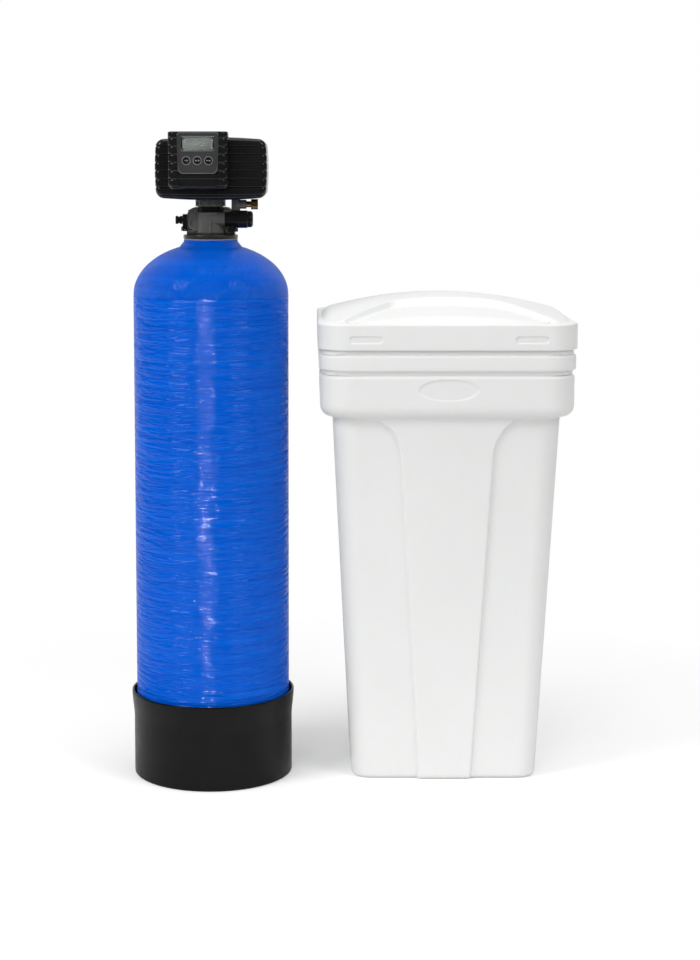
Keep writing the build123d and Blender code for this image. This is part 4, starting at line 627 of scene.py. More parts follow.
def close_tree(tree, geometry, material_socket, output):
    """Ends a tree in Realize Instances and Set Material."""
    realize = add_node(tree, "GeometryNodeRealizeInstances", Geometry=geometry)
    paint = add_node(tree, "GeometryNodeSetMaterial", Geometry=realize.outputs[0],
                     Material=material_socket)
    tree.links.new(paint.outputs[0], output.inputs[0])


def grow(name, tree, values, source, body, sharp=38.0):
    """Runs a tree on a source object and keeps its result as a plain mesh on a body."""
    modifier = source.modifiers.new("shape", "NODES")
    modifier.node_group = tree
    sockets = {s.name: s.identifier for s in tree.interface.items_tree
               if s.item_type == "SOCKET" and s.in_out == "INPUT"}
    for label, value in values.items():
        modifier[sockets[label]] = value
    source.update_tag()
    bpy.context.view_layer.update()
    ready = source.evaluated_get(bpy.context.evaluated_depsgraph_get())
    mesh = bpy.data.meshes.new_from_object(ready)
    mesh.name = name
    if not len(mesh.polygons):
        raise RuntimeError(name + " came out empty")
    bpy.data.objects.remove(source)
    return add_piece(name, mesh, body, sharp)


def winding_tree():
    """Relief of the windings: hoops on the cylinder and crossing strands on the dome."""
    tree, given, output = named_tree("winding_relief", [
        ("Hoop relief", "NodeSocketFloat"), ("Dome relief", "NodeSocketFloat"),
        ("Seed", "NodeSocketFloat"), ("Material", "NodeSocketMaterial")])

    def attribute(name, kind):
        return add_node(tree, "GeometryNodeInputNamedAttribute", data_type=kind,
                        Name=name).outputs["Attribute"]

    def combine(operation, a, b):
        return add_maths(tree, operation, a, b)

    def relief(vector, stretch, detail):
        scaled = add_node(tree, "ShaderNodeVectorMath", operation="MULTIPLY", Vector=vector)
        scaled.inputs[1].default_value = stretch
        noise = add_node(tree, "ShaderNodeTexNoise", noise_dimensions="4D", Scale=1.0,
                         Detail=detail, Vector=scaled.outputs[0], W=given.outputs["Seed"])
        return combine("SUBTRACT", noise.outputs["Fac"], 0.5)

    place = add_node(tree, "GeometryNodeInputPosition").outputs[0]
    hoop = attribute("hoop", "FLOAT")
    hoops = combine("MULTIPLY", relief(place, (9, 9, 110), 2.0), given.outputs["Hoop relief"])
    crossing = combine("ADD", relief(attribute("helix_a", "FLOAT_VECTOR"), (13, 13, 3), 1.0),
                       relief(attribute("helix_b", "FLOAT_VECTOR"), (13, 13, 3), 1.0))
    domes = combine("MULTIPLY", crossing, given.outputs["Dome relief"])
    height = combine("ADD", combine("MULTIPLY", hoops, hoop),
                     combine("MULTIPLY", domes, combine("SUBTRACT", 1.0, hoop)))
    shown = combine("MULTIPLY", height, attribute("outer", "FLOAT"))
    push = add_node(tree, "ShaderNodeVectorMath", operation="SCALE", Scale=shown,
                    Vector=add_node(tree, "GeometryNodeInputNormal").outputs[0])
    move = add_node(tree, "GeometryNodeSetPosition", Geometry=given.outputs["Geometry"],
                    Offset=push.outputs[0])
    close_tree(tree, move.outputs[0], given.outputs["Material"], output)
    return tree


def bead_tree():
    """A bead of flat-oval section along each edge path of the source."""
    tree, given, output = named_tree("edge_bead", [
        ("Width", "NodeSocketFloat"), ("Height", "NodeSocketFloat"),
        ("Material", "NodeSocketMaterial")])
    path = add_node(tree, "GeometryNodeMeshToCurve", Mesh=given.outputs["Geometry"])
    upright = add_node(tree, "GeometryNodeSetCurveNormal", mode="Z_UP", Curve=path.outputs[0])
    circle = add_node(tree, "GeometryNodeCurvePrimitiveCircle", Resolution=12, Radius=0.5)
    size = add_node(tree, "ShaderNodeCombineXYZ", X=given.outputs["Width"],
                    Y=given.outputs["Height"], Z=1.0)
    section = add_node(tree, "GeometryNodeTransform", Geometry=circle.outputs[0],
                       Scale=size.outputs[0])
    sweep = add_node(tree, "GeometryNodeCurveToMesh", Curve=upright.outputs[0],
                     Profile_Curve=section.outputs[0], Fill_Caps=True)
    close_tree(tree, sweep.outputs[0], given.outputs["Material"], output)
    return tree


def path_object(name, paths, closed):
    """A mesh of edges only, in millimetres, that a tree turns into a piece."""
    points, edges = [], []
    for path in paths:
        start = len(points)
        points += [tuple(c * MM for c in p) for p in path]
        edges += [(start + i, start + i + 1) for i in range(len(path) - 1)]
        if closed:
            edges.append((start + len(path) - 1, start))
    mesh = bpy.data.meshes.new(name)
    mesh.from_pydata(points, edges, [])
    path = bpy.data.objects.new(name, mesh)
    bpy.context.scene.collection.objects.link(path)
    return path


# Vessel and boot, in millimetres

DOME_RISE = 85.0
DOME_HEIGHT = 808.0
VESSEL_FLOOR = 4.0
NECK_RADIUS = 44.5
NECK_BORE = 42.0
NECK_FILLET = 5.0
SHELL_WALL = 2.6
# Room that the relief has inside the solid, and the step from the hoops down to the dome
RELIEF_ROOM, SEAM_STEP = 0.2, 0.22
# Where the hoops come out of the boot: from here up the rings stand close
HOOPS_LOW = 140.0
WINDING_SEED = 4.0
HELIX_RISE = 0.002


class SOFTENER_OT_vessel(bpy.types.Operator):
    """Makes the wound vessel: outer form, relief of the windings and inner wall"""

    bl_idname = "softener.vessel"
    bl_label = "Wound vessel"

    def execute(self, context):
        s = settings("vessel")
        radius = s.radius / MM - RELIEF_ROOM
        seam = s.seam_height / MM
        low = VESSEL_FLOOR + DOME_RISE
        top = SHELL_HIGH[2]
        profile, marks = [(0, VESSEL_FLOOR)], [(0.0, 0.0)]

        def add(r, z, hoop, outer):
            profile.append((r, z))
            marks.append((hoop, outer))

        def dome(reach, middle, rise, degrees, hoop, outer):
            for turn in map(math.radians, degrees):
                add(reach * math.cos(turn), middle + rise * math.sin(turn), hoop, outer)

        dome(radius, low, DOME_RISE, steps(-90, 0, 14), 1.0, 1.0)
        for z in steps(low, HOOPS_LOW, 5) + steps(HOOPS_LOW, seam, 250):
            add(radius, z, 1.0, 1.0)
        for z in (seam + 0.25, seam + 0.5):
            add(radius - SEAM_STEP, z, 0.0, 1.0)
        neck_angle = math.degrees(math.acos((NECK_RADIUS + NECK_FILLET) / radius))
        dome(radius - SEAM_STEP, DOME_HEIGHT, DOME_RISE, steps(0.5, neck_angle, 54), 0.0, 1.0)
        join_z = profile[-1][1]
        for share in steps(0, 1, 5):
            turn = math.radians(90 * share)
            add(NECK_RADIUS + NECK_FILLET * (1 - math.sin(turn)),
                join_z + NECK_FILLET * (1 - math.cos(turn)) * 0.7, 0.0, 1.0)
        add(NECK_RADIUS, top - 0.6, 0.0, 0.0)
        add(NECK_RADIUS - 0.5, top, 0.0, 0.0)
        add(NECK_BORE, top, 0.0, 0.0)
        inner = radius - SHELL_WALL
        rise = DOME_RISE - SHELL_WALL
        bore_angle = math.degrees(math.acos(NECK_BORE / inner))
        dome(inner, DOME_HEIGHT, rise, steps(bore_angle + 1, 0, 10), 0.0, 0.0)
        dome(inner, low, rise, steps(1, -89, 10), 0.0, 0.0)
        profile.append((0, VESSEL_FLOOR + SHELL_WALL))
        marks.append((0.0, 0.0))

        points, faces = lathe(profile, s.segments)
        mesh = bpy.data.meshes.new("vessel_form")
        mesh.from_pydata([tuple(c * MM for c in p) for p in points], [], faces)
        turn_at, turned = [], 0.0
        for i, (r, z) in enumerate(profile):
            if i and r > NECK_RADIUS + 1 and z > seam:
                last_r, last_z = profile[i - 1]
                length = math.hypot(r - last_r, z - last_z)
                turned += length * NECK_RADIUS / (r * math.sqrt(r * r - NECK_RADIUS ** 2))
            turn_at.append(turned)
        hoop, outer, helix_a, helix_b = [], [], [], []
        for (r, z), (h, o), turned in zip(profile, marks, turn_at):
            for i in range(1 if r == 0 else s.segments):
                at = 2 * math.pi * i / s.segments
                hoop.append(h)
                outer.append(o)
                for store, sign in ((helix_a, 1), (helix_b, -1)):
                    turn = at + sign * turned
                    store.append((math.cos(turn), math.sin(turn), z * HELIX_RISE + sign))
        for name, kind, values in (("hoop", "FLOAT", hoop), ("outer", "FLOAT", outer)):
            mesh.attributes.new(name, kind, "POINT").data.foreach_set("value", values)
        for name, values in (("helix_a", helix_a), ("helix_b", helix_b)):
            flat = [c for v in values for c in v]
            mesh.attributes.new(name, "FLOAT_VECTOR", "POINT").data.foreach_set("vector", flat)
        form = bpy.data.objects.new("vessel_form", mesh)
        context.scene.collection.objects.link(form)
        piece = grow("wound_vessel", winding_tree(), {
            "Hoop relief": s.hoop_relief, "Dome relief": s.dome_relief, "Seed": WINDING_SEED,
            "Material": finish_of("vessel"),
        }, form, "softener", sharp=60)
        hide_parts("vessel_shell")
        dress("liner", "vessel_liner", "neck_insert", "riser_tube", "bottom_basket",
              "top_basket")
        dress("gasket", "neck_gasket")
        dress("gravel", "gravel_bed")
        dress("resin", "resin_bed")
        return {"FINISHED"}


BOOT_FLARE, BOOT_FLARE_LOW, BOOT_WALL = 3.5, 95.0, 4.0
BOOT_FOOT, BOOT_LIP = 3.0, 2.0


class SOFTENER_OT_boot(bpy.types.Operator):
    """Makes the black boot with its flared, rounded rim"""

    bl_idname = "softener.boot"
    bl_label = "Boot"

    def execute(self, context):
        top = BOOT_HIGH[2]
        rim = BOOT_HIGH[0]
        wall = rim - BOOT_FLARE
        inner = wall - BOOT_WALL
        rise = top - BOOT_LIP - BOOT_FLARE_LOW

        def flare(reach, shares):
            return [(reach + BOOT_FLARE * soft_step(share - 0.5, 1.0),
                     BOOT_FLARE_LOW + rise * share) for share in shares]

        profile = [(0, 0.0)]
        profile += [(r, 0.0) for r in steps(0, wall - BOOT_FOOT, 10)]
        profile += corner_arc(wall - BOOT_FOOT, BOOT_FOOT, BOOT_FOOT, -90, 0, 6)
        profile += [(wall, z) for z in steps(BOOT_FOOT, BOOT_FLARE_LOW, 30)]
        profile += flare(wall, steps(0, 0.96, 14))
        profile += corner_arc(rim - BOOT_LIP, top - BOOT_LIP, BOOT_LIP, 0, 180, 10)
        profile += flare(inner, steps(0.96, 0, 10))
        profile += [(inner, z) for z in steps(BOOT_FLARE_LOW, BOOT_WALL, 6)]
        profile += [(r, BOOT_WALL) for r in steps(inner, 10, 5)] + [(0, BOOT_WALL)]
        points, faces = lathe(profile, 180)
        piece = new_piece("moulded_boot", points, faces, finish_of("boot"), "softener")
        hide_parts("vessel_boot")
        return {"FINISHED"}


# Brine tank and lid


def square_columns(front, side, back, corner):
    """Places round a rounded square: kind of stretch, quarter turn and share along it."""
    columns = []
    for quarter, count in enumerate((front, side, back, side)):
        columns += [("side", quarter, i / count) for i in range(count)]
        columns += [("corner", quarter, i / corner) for i in range(corner)]
    return columns


def square_point(column, half, radius):
    """The point of a rounded square, centred on zero, at one of its columns."""
    kind, quarter, share = column
    reach = half - radius
    if kind == "side":
        x, y = -reach + 2 * reach * share, -half
    else:
        turn = math.radians(-90 + 90 * share)
        x, y = reach + radius * math.cos(turn), -reach + radius * math.sin(turn)
    for _ in range(quarter):
        x, y = -y, x
    return x, y


# Brine tank, in millimetres: half widths from its middle, corner radii and heights
BODY_TOP = 612.0
FOOT_HALF, TOP_HALF = 154.0, 186.0
FOOT_CORNER, TOP_CORNER = 30.0, 38.0
FOOT_ROUND = 9.0
# The small hollow corner between the body and the collar: its height and its reach
NOOK, NOOK_REACH = 4.0, 3.5
COLLAR_HALF, COLLAR_CORNER, COLLAR_TOP = 207.5, 46.0, 681.6
COLLAR_ROUND, COLLAR_LIFT, COLLAR_LIP = 18.0, 20.0, 5.0
COLLAR_KNEE = COLLAR_HALF - COLLAR_ROUND
GROOVE_HALF = COLLAR_HALF - 3.4
RING_LOW, RING_HIGH, RING_HALF, RING_ROUND = 689.0, 715.0, 209.5, 4.0
RIM_HALF, RIM_TOP = 201.0, 747.0
GAP_HALF = RIM_HALF + 4.5
TANK_WALL = 4.5
INNER_STEP = 677.0
PANEL_FOOT, PANEL_TOP, PANEL_KNEE, PANEL_FLARE = 43.5, 74.5, 543.5, 75.0
PANEL_OUTSIDE = -9.0
OVAL_HEIGHT, OVAL_HALF, OVAL_RISE, OVAL_EDGE = 659.0, 47.2, 17.1, 2.2
# Rings stand close from the panel's flare up, and where the oval is
FLARE_LOW = 540.0
OVAL_LOW, OVAL_HIGH = 638.0, 676.0


def panel_edge(x, z):
    """How far a point of the front lies inside the raised panel's edge."""
    if z <= PANEL_KNEE:
        return PANEL_FOOT + (PANEL_TOP - PANEL_FOOT) * z / PANEL_KNEE - abs(x)
    centre = PANEL_TOP + PANEL_FLARE
    if abs(x) >= centre:
        return PANEL_OUTSIDE
    return math.hypot(abs(x) - centre, z - PANEL_KNEE) - PANEL_FLARE


def oval_depth(x, z):
    """1 inside the oval recess, 0 outside, with a round edge between."""
    reach = math.hypot(x / OVAL_HALF, (z - OVAL_HEIGHT) / OVAL_RISE)
    return soft_step((1 - reach) * OVAL_RISE, OVAL_EDGE)


def body_size(z):
    """Half width and corner radius of the tapered body at a height."""
    return (FOOT_HALF + (TOP_HALF - FOOT_HALF) / BODY_TOP * z,
            FOOT_CORNER + (TOP_CORNER - FOOT_CORNER) * z / BODY_TOP)


def tank_outside():
    """Outer rings from the foot up to the rim: half width, corner radius, height and kind."""
    rings = [(FOOT_HALF - inset, max(FOOT_CORNER - inset, 4.0), 0.0, "plain")
             for inset in (110, 60, 25)]
    for turn in arc(-90, 0, 15):
        inset, z = FOOT_ROUND * (1 - math.cos(turn)), FOOT_ROUND * (1 + math.sin(turn))
        half, corner = body_size(z)
        rings.append((half - inset, corner - inset, z, "panel"))
    rings += [(*body_size(z), z, "panel")
              for z in steps(FOOT_ROUND, FLARE_LOW, 84) + steps(FLARE_LOW, BODY_TOP - NOOK, 28)]
    # Under the collar: a small hollow corner, then the collar's round underside
    start = body_size(BODY_TOP)[0]
    rings += [(start + NOOK_REACH * (1 - math.cos(turn)), TOP_CORNER + 2 * math.sin(turn),
               BODY_TOP - NOOK + NOOK * math.sin(turn), "panel") for turn in arc(0, 90, 18)]
    rings += [(COLLAR_KNEE + COLLAR_ROUND * math.sin(turn),
               COLLAR_CORNER - 6 + 6 * math.sin(turn),
               BODY_TOP + COLLAR_LIFT * (1 - math.cos(turn)), "under")
              for turn in arc(0, 90, 9)]
    rings += [(COLLAR_HALF, COLLAR_CORNER, z, "collar")
              for z in (steps(BODY_TOP + COLLAR_LIFT, OVAL_LOW, 2)
                        + steps(OVAL_LOW, OVAL_HIGH, 31))]
    rings += [(COLLAR_HALF - 4.5 * (1 - math.cos(turn)), COLLAR_CORNER,
               COLLAR_TOP - COLLAR_LIP + COLLAR_LIP * math.sin(turn), "plain")
              for turn in arc(0, 90, 18)]
    # Groove, ring and the gap under the lid
    rings += [(GROOVE_HALF, COLLAR_CORNER - 4, z, "plain") for z in (COLLAR_TOP + 1.5, RING_LOW)]
    low, high = RING_LOW + RING_ROUND, RING_HIGH - RING_ROUND

    def ring_edge(height, turns):
        return [(RING_HALF - RING_ROUND + RING_ROUND * math.cos(turn), COLLAR_CORNER,
                 height + RING_ROUND * math.sin(turn), "plain") for turn in turns]

    rings += ring_edge(low, arc(-90, 0, 15))
    rings += [(RING_HALF, COLLAR_CORNER, z, "plain") for z in steps(low, high, 4)]
    rings += ring_edge(high, arc(15, 90, 15))
    rings += [(half, COLLAR_CORNER - less, z, "plain") for half, less, z in (
        (GAP_HALF, 3, RING_HIGH + 0.5), (GAP_HALF, 3, RING_HIGH + 9),
        (RIM_HALF, 4.5, RING_HIGH + 11), (RIM_HALF, 4.5, RIM_TOP - 1.5),
        (RIM_HALF - 1.5, 5, RIM_TOP), (RIM_HALF - 3, 6, RIM_TOP))]
    return rings


def tank_inside():
    """Inner rings from the rim down to the floor."""
    rings = [(RIM_HALF - TANK_WALL, COLLAR_CORNER - 9, z) for z in (RIM_TOP - 1.5, INNER_STEP)]
    rings.append((COLLAR_HALF - TANK_WALL, COLLAR_CORNER - 5, INNER_STEP - 3))
    rings += [(COLLAR_KNEE - TANK_WALL + COLLAR_ROUND * math.sin(turn),
               COLLAR_CORNER - 11 + 6 * math.sin(turn),
               BODY_TOP + 7 + COLLAR_ROUND * (1 - math.cos(turn))) for turn in arc(90, 0, -18)]
    for z in (BODY_TOP + 5, BODY_TOP - 4, 400.0, 200.0, 12.0):
        half, corner = body_size(min(z, BODY_TOP))
        rings.append((half - TANK_WALL, corner - TANK_WALL, z))
    half, corner = body_size(TANK_WALL)
    rings += [(half - TANK_WALL - 3, corner - TANK_WALL - 3, 6.0),
              (half - TANK_WALL - 8, corner - TANK_WALL - 8, TANK_WALL),
              (half - 70, 6.0, TANK_WALL)]
    return [(*ring, "plain") for ring in rings]


class SOFTENER_OT_tank(bpy.types.Operator):
    """Makes the brine tank: tapered body, raised panels, collar, ring and rim"""

    bl_idname = "softener.tank"
    bl_label = "Brine tank"

    def execute(self, context):
        s = settings("tank")
        proud, soft = s.panel_proud / MM, s.edge_softness / MM
        recess = s.recess_depth / MM
        columns = square_columns(190, 24, 90, 9)
        points, sizes = [(TANK_X, TANK_Y, 0.0)], [1]
        for half, corner, z, kind in tank_outside() + tank_inside():
            for column in columns:
                x, y = square_point(column, half, max(corner, 1.0))
                if kind in ("panel", "under") and column[0] == "side" and column[1] in (0, 2):
                    rise = proud * soft_step(panel_edge(x, min(z, BODY_TOP)), soft)
                    if kind == "panel":
                        y += math.copysign(rise, y)
                    elif abs(y) < TOP_HALF + NOOK_REACH + rise:
                        y = math.copysign(TOP_HALF + NOOK_REACH + rise, y)
                elif kind == "collar" and column[:2] == ("side", 0):
                    y += recess * oval_depth(x, z)
                points.append((TANK_X + x, TANK_Y + y, z))
            sizes.append(len(columns))
        points.append((TANK_X, TANK_Y, TANK_WALL))
        sizes.append(1)
        piece = new_piece("moulded_brine_tank", points, ring_faces(sizes), finish_of("tank"),
                          "softener", sharp=62)
        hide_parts("brine_tank")
        dress("grid", "brine_well", "well_cap", "salt_grid", "brine_float", "safety_valve")
        dress("valve_dark", "overflow_elbow", "overflow_nut")
        dress("rubber", "line_grommet")
        return {"FINISHED"}


# Lid, in millimetres; a crown is given by its radius across and its radius front to back
LID_HALF, LID_CORNER = 211.5, 50.0
LID_BAND_TOP, LID_STEP, LID_SKIRT, LID_ROUND = 766.0, 737.0, 726.0, 3.0
DOME_HALF, DOME_CORNER, DOME_TOP, CROWN = 207.5, 46.0, 804.5, (700.0, 1500.0)
SHOULDER = 18.0
LID_WALL = 4.0
SCOOP_BACK_HALF, SCOOP_FRONT_HALF = 82.0, 199.0
SCOOP_BACK, SCOOP_FRONT = -2.0, -132.0
SCOOP_TOP, SCOOP_CROWN, SCOOP_WALL = 791.5, (1000.0, 1400.0), math.radians(16)
SCOOP_CORNER, SCOOP_LIP, SCOOP_FOOT = 12.0, 3.0, 5.0
SLOT_X, SLOT_Z, SLOT_HALF, SLOT_RADIUS, SLOT_EDGE = 133.6, 740.8, 26.4, 5.4, 1.8
# Rings stand close where the slots are
SLOT_ZONE = (750.5, 733.5)
LID_PLAY = 0.3


def crown_height(x, y, top, across, along):
    """Height of a crown over the lid's middle, with its radius across and front to back."""
    return top - x * x / (2 * across) - y * y / (2 * along)


def lid_height(x, y):
    """Height of the lid's top: a crown, opened in front down to the hand scoop's floor."""
    run = (SCOOP_FRONT_HALF - SCOOP_BACK_HALF) / (SCOOP_BACK - SCOOP_FRONT)
    back = y + TANK_Y - SCOOP_BACK
    side = (abs(x) - SCOOP_BACK_HALF + back * run) / math.hypot(1, run)
    outside = -soft_min(-side, -back, SCOOP_CORNER)
    wall = LID_BAND_TOP + outside / math.tan(SCOOP_WALL)
    upper = soft_min(crown_height(x, y, DOME_TOP, *CROWN), wall, SCOOP_LIP)
    return -soft_min(-crown_height(x, y, SCOOP_TOP, *SCOOP_CROWN), -upper, SCOOP_FOOT)


def shoulder_drop(inset, radius):
    """How far a round shoulder lies under the crown at a distance from the side."""
    return radius - math.sqrt(radius ** 2 - max(0.0, radius - inset) ** 2)


class SOFTENER_OT_lid(bpy.types.Operator):
    """Makes the brine tank's lid: crowned top with its scoop, band and two slots"""

    bl_idname = "softener.lid"
    bl_label = "Brine tank lid"

    def execute(self, context):
        recess = settings("tank").recess_depth / MM
        columns = square_columns(216, 40, 110, 22)
        points, sizes = [], []

        def ring(half, corner, height, slots=False):
            for column in columns:
                x, y = square_point(column, half, max(corner, 1.0))
                if slots and y < -half + LID_CORNER / 2 and abs(x) > SLOT_X - 2 * SLOT_HALF:
                    away = math.hypot(max(0.0, abs(abs(x) - SLOT_X) - SLOT_HALF + SLOT_RADIUS),
                                      height - SLOT_Z)
                    y += recess * soft_step(SLOT_RADIUS - away, SLOT_EDGE)
                z = height(x, y) if callable(height) else height
                points.append((TANK_X + x, TANK_Y + y, z))
            sizes.append(len(columns))

        def crown_ring(half, corner, inset, wall=0.0):
            drop = shoulder_drop(inset, SHOULDER - wall) + wall * 1.2
            ring(half - inset, corner - inset * (1 if inset > SHOULDER else 0.6),
                 lambda x, y: max(lid_height(x, y) - drop,
                                  RIM_TOP + 1.5 if wall else LID_BAND_TOP + 0.2))

        def band_edge(middle, degrees):
            for turn in map(math.radians, degrees):
                ring(LID_HALF - LID_ROUND + LID_ROUND * math.cos(turn), LID_CORNER - 1,
                     middle + LID_ROUND * math.sin(turn))

        points.append((TANK_X, TANK_Y, lid_height(0, 0)))
        sizes.append(1)
        for inset in steps(DOME_HALF - 3, SHOULDER, 92):
            crown_ring(DOME_HALF, DOME_CORNER, inset)
        for a in steps(90, 0, 10):
            crown_ring(DOME_HALF, DOME_CORNER, SHOULDER * (1 - math.cos(math.radians(a))))
        ring(DOME_HALF + 0.4, DOME_CORNER, LID_BAND_TOP)
        band_edge(LID_BAND_TOP - LID_ROUND, steps(90, 0, 5))
        for z in steps(LID_BAND_TOP - LID_ROUND, SLOT_ZONE[0], 4) + steps(*SLOT_ZONE, 24):
            ring(LID_HALF, LID_CORNER, z, slots=True)
        ring(LID_HALF, LID_CORNER, LID_SKIRT)
        band_edge(LID_SKIRT, steps(0, -90, 5))
        for height in (LID_SKIRT - LID_ROUND, LID_STEP):
            ring(LID_HALF - LID_WALL, LID_CORNER - LID_WALL, height)
        for height in (LID_STEP, RIM_TOP + LID_PLAY):
            ring(RIM_HALF + LID_PLAY, COLLAR_CORNER - 4.5, height)
        inner_half, inner_corner = DOME_HALF - LID_WALL, DOME_CORNER - LID_WALL
        ring(inner_half, inner_corner, RIM_TOP + LID_PLAY)
        for inset in (0, 1, 3, 6, 10, 14, 26, 44, *range(60, 189, 16), 200):
            crown_ring(inner_half, inner_corner, inset, LID_WALL)
        points.append((TANK_X, TANK_Y, lid_height(0, 0) - LID_WALL * 1.2))
        sizes.append(1)
        piece = new_piece("moulded_lid", points, ring_faces(sizes), finish_of("tank"), "lid",
                          sharp=62)
        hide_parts("brine_lid")
        return {"FINISHED"}


# Head, in millimetres

PLATE_TAPER, PLATE_LOW_CORNER, PLATE_HIGH_CORNER, PLATE_STEPS = 1.6, 9.0, 4.0, 8


def plate_path(inset, y):
    """The faceplate's outline at a depth, drawn in by an inset, in millimetres."""
    left, right, low, high = PLATE_LOW[0], PLATE_HIGH[0], PLATE_LOW[2], PLATE_HIGH[2]
    corners = [(left + PLATE_TAPER, low, PLATE_LOW_CORNER, 180),
               (right - PLATE_TAPER, low, PLATE_LOW_CORNER, 270),
               (right, high, PLATE_HIGH_CORNER, 0), (left, high, PLATE_HIGH_CORNER, 90)]
    path = []
    for x, z, radius, start in corners:
        radius = max(radius - inset, 0.5)
        into_x = 1 if x < (left + right) / 2 else -1
        into_z = 1 if z < (low + high) / 2 else -1
        cx, cz = x + into_x * (inset + radius), z + into_z * (inset + radius)
        for i in range(PLATE_STEPS + 1):
            turn = math.radians(start + 90 * i / PLATE_STEPS)
            path.append((cx + radius * math.cos(turn), y, cz + radius * math.sin(turn)))
    return path


class SOFTENER_OT_head(bpy.types.Operator):
    """Dresses the head: cover, display housing, drive, back panel and gland"""

    bl_idname = "softener.head"
    bl_label = "Head"

    def execute(self, context):
        dress("cover", "head_cover", "display_housing", "back_panel")
        dress("valve_dark", "power_gland", "head_frame", "position_switch")
        dress("steel", "small_screws", "drive_motor")
        dress("gear", "main_gear", "motor_pinion")
        dress("board", "circuit_board")
        return {"FINISHED"}


class SOFTENER_OT_display(bpy.types.Operator):
    """Dresses the display and adds the faceplate's rim and the window's edge"""

    bl_idname = "softener.display"
    bl_label = "Display and faceplate"

    def execute(self, context):
        dress("plate", "faceplate")
        dress("ring", "button_rings")
        dress("window", "display_lens")
        dress("panel", "display_module")
        width = settings("head").rim_width
        front = PLATE_LOW[1]
        tree = bead_tree()
        rim = path_object("rim_path", [plate_path(width / MM / 2 + 0.2, front + 0.5)], True)
        grow("faceplate_rim", tree, {"Width": width, "Height": 0.0009,
                                     "Material": finish_of("rim")},
             rim, "softener")
        inset, radius = 0.5, 1.2
        left, right = LENS_LOW[0] + inset + radius, LENS_HIGH[0] - inset - radius
        low, high = LENS_LOW[2] + inset + radius, LENS_HIGH[2] - inset - radius
        path = [(x + radius * math.cos(turn), front + 0.75, z + radius * math.sin(turn))
                for x, z, start in ((left, low, 180), (right, low, 270), (right, high, 0),
                                    (left, high, 90))
                for turn in arc(start, start + 90, 18)]
        edge = path_object("window_path", [path], True)
        grow("window_edge", tree, {"Width": 0.0011, "Height": 0.0008,
                                   "Material": finish_of("bezel")},
             edge, "softener")
        return {"FINISHED"}


class SOFTENER_OT_buttons(bpy.types.Operator):
    """Dresses the three buttons and adds a plain symbol to each"""

    bl_idname = "softener.buttons"
    bl_label = "Buttons"

    def execute(self, context):
        dress("button", "cycle_button", "down_button", "up_button")
        width = settings("head").symbol_width
        tree = bead_tree()
        ring = [(1.9 + 1.1 * math.cos(turn), 1.1 * math.sin(turn)) for turn in arc(0, 330, 30)]
        bar = [(-3.0, 0.0), (3.0, 0.0)]
        symbols = {
            "cycle": [ring, [(-3.0, 0.0), (-0.2, 0.0)]],
            "down": [bar, [(-1.7, 1.2), (-3.0, 0.0), (-1.7, -1.2)],
                     [(1.7, 1.2), (3.0, 0.0), (1.7, -1.2)]],
            "up": [bar, [(-3.0, 1.2), (-1.6, 0.0), (-3.0, -1.2)],
                   [(3.0, 1.2), (1.6, 0.0), (3.0, -1.2)]],
        }
        for key, lines in symbols.items():
            low, high = box_mm(key + "_button")
            x, z = (low[0] + high[0]) / 2, (low[2] + high[2]) / 2
            paths = [[(x + u, low[1] + 0.02, z + v) for u, v in line] for line in lines]
            grow("symbol_" + key, tree, {"Width": width, "Height": 0.0003,
                                         "Material": finish_of("symbol")},
                 path_object(key + "_path", paths, False), key + "_key")
        return {"FINISHED"}


class SOFTENER_OT_valve(bpy.types.Operator):
    """Dresses the valve: body, injector, brine valve, mixing valve and ports"""

    bl_idname = "softener.valve"
    bl_label = "Valve"

    def execute(self, context):
        dress("valve", "valve_body", "plug_retainer", "brine_valve_body", "port_yoke")
        dress("valve_dark", "end_plug", "injector_housing", "injector_cap", "injector_plug",
              "mixing_plate", "mixing_knob", "meter_turbine", "drain_fitting")
        dress("rubber", "piston_seals", "port_seals")
        dress("piston", "piston")
        dress("liner", "injector_nozzle", "turbine_support")
        dress("steel", "brine_stem", "brine_stem_spring", "yoke_clips")
        dress("brass", "brine_fitting", "brine_nut")
        return {"FINISHED"}


# Stage

CAMERA_PLACE, CAMERA_SHIFT = (0.1662, -3.2897, 1.0171), (0.0403, -0.0965)
SENSOR_WIDTH = 36.0
FLOOR_HALF, FLOOR_DROP = 14.0, 0.0004
# In front of the object the floor is dim where it is mirrored, and turns white over this edge
ROOM_FLOOR, ROOM_EDGE = (0.06, 0.06, 0.06), (-1.4, -0.9)
SHADOW_CENTRE, SHADOW_NEAR, SHADOW_FAR = (0.2, 0.0, 0.0), 0.4, 1.2
BACKDROP_EDGE, BACKDROP_FULL = 0.42, 0.95
OVERHEAD_PLACE, OVERHEAD_SIZE = (0.25, -0.1, 2.8), (1.6, 1.2)


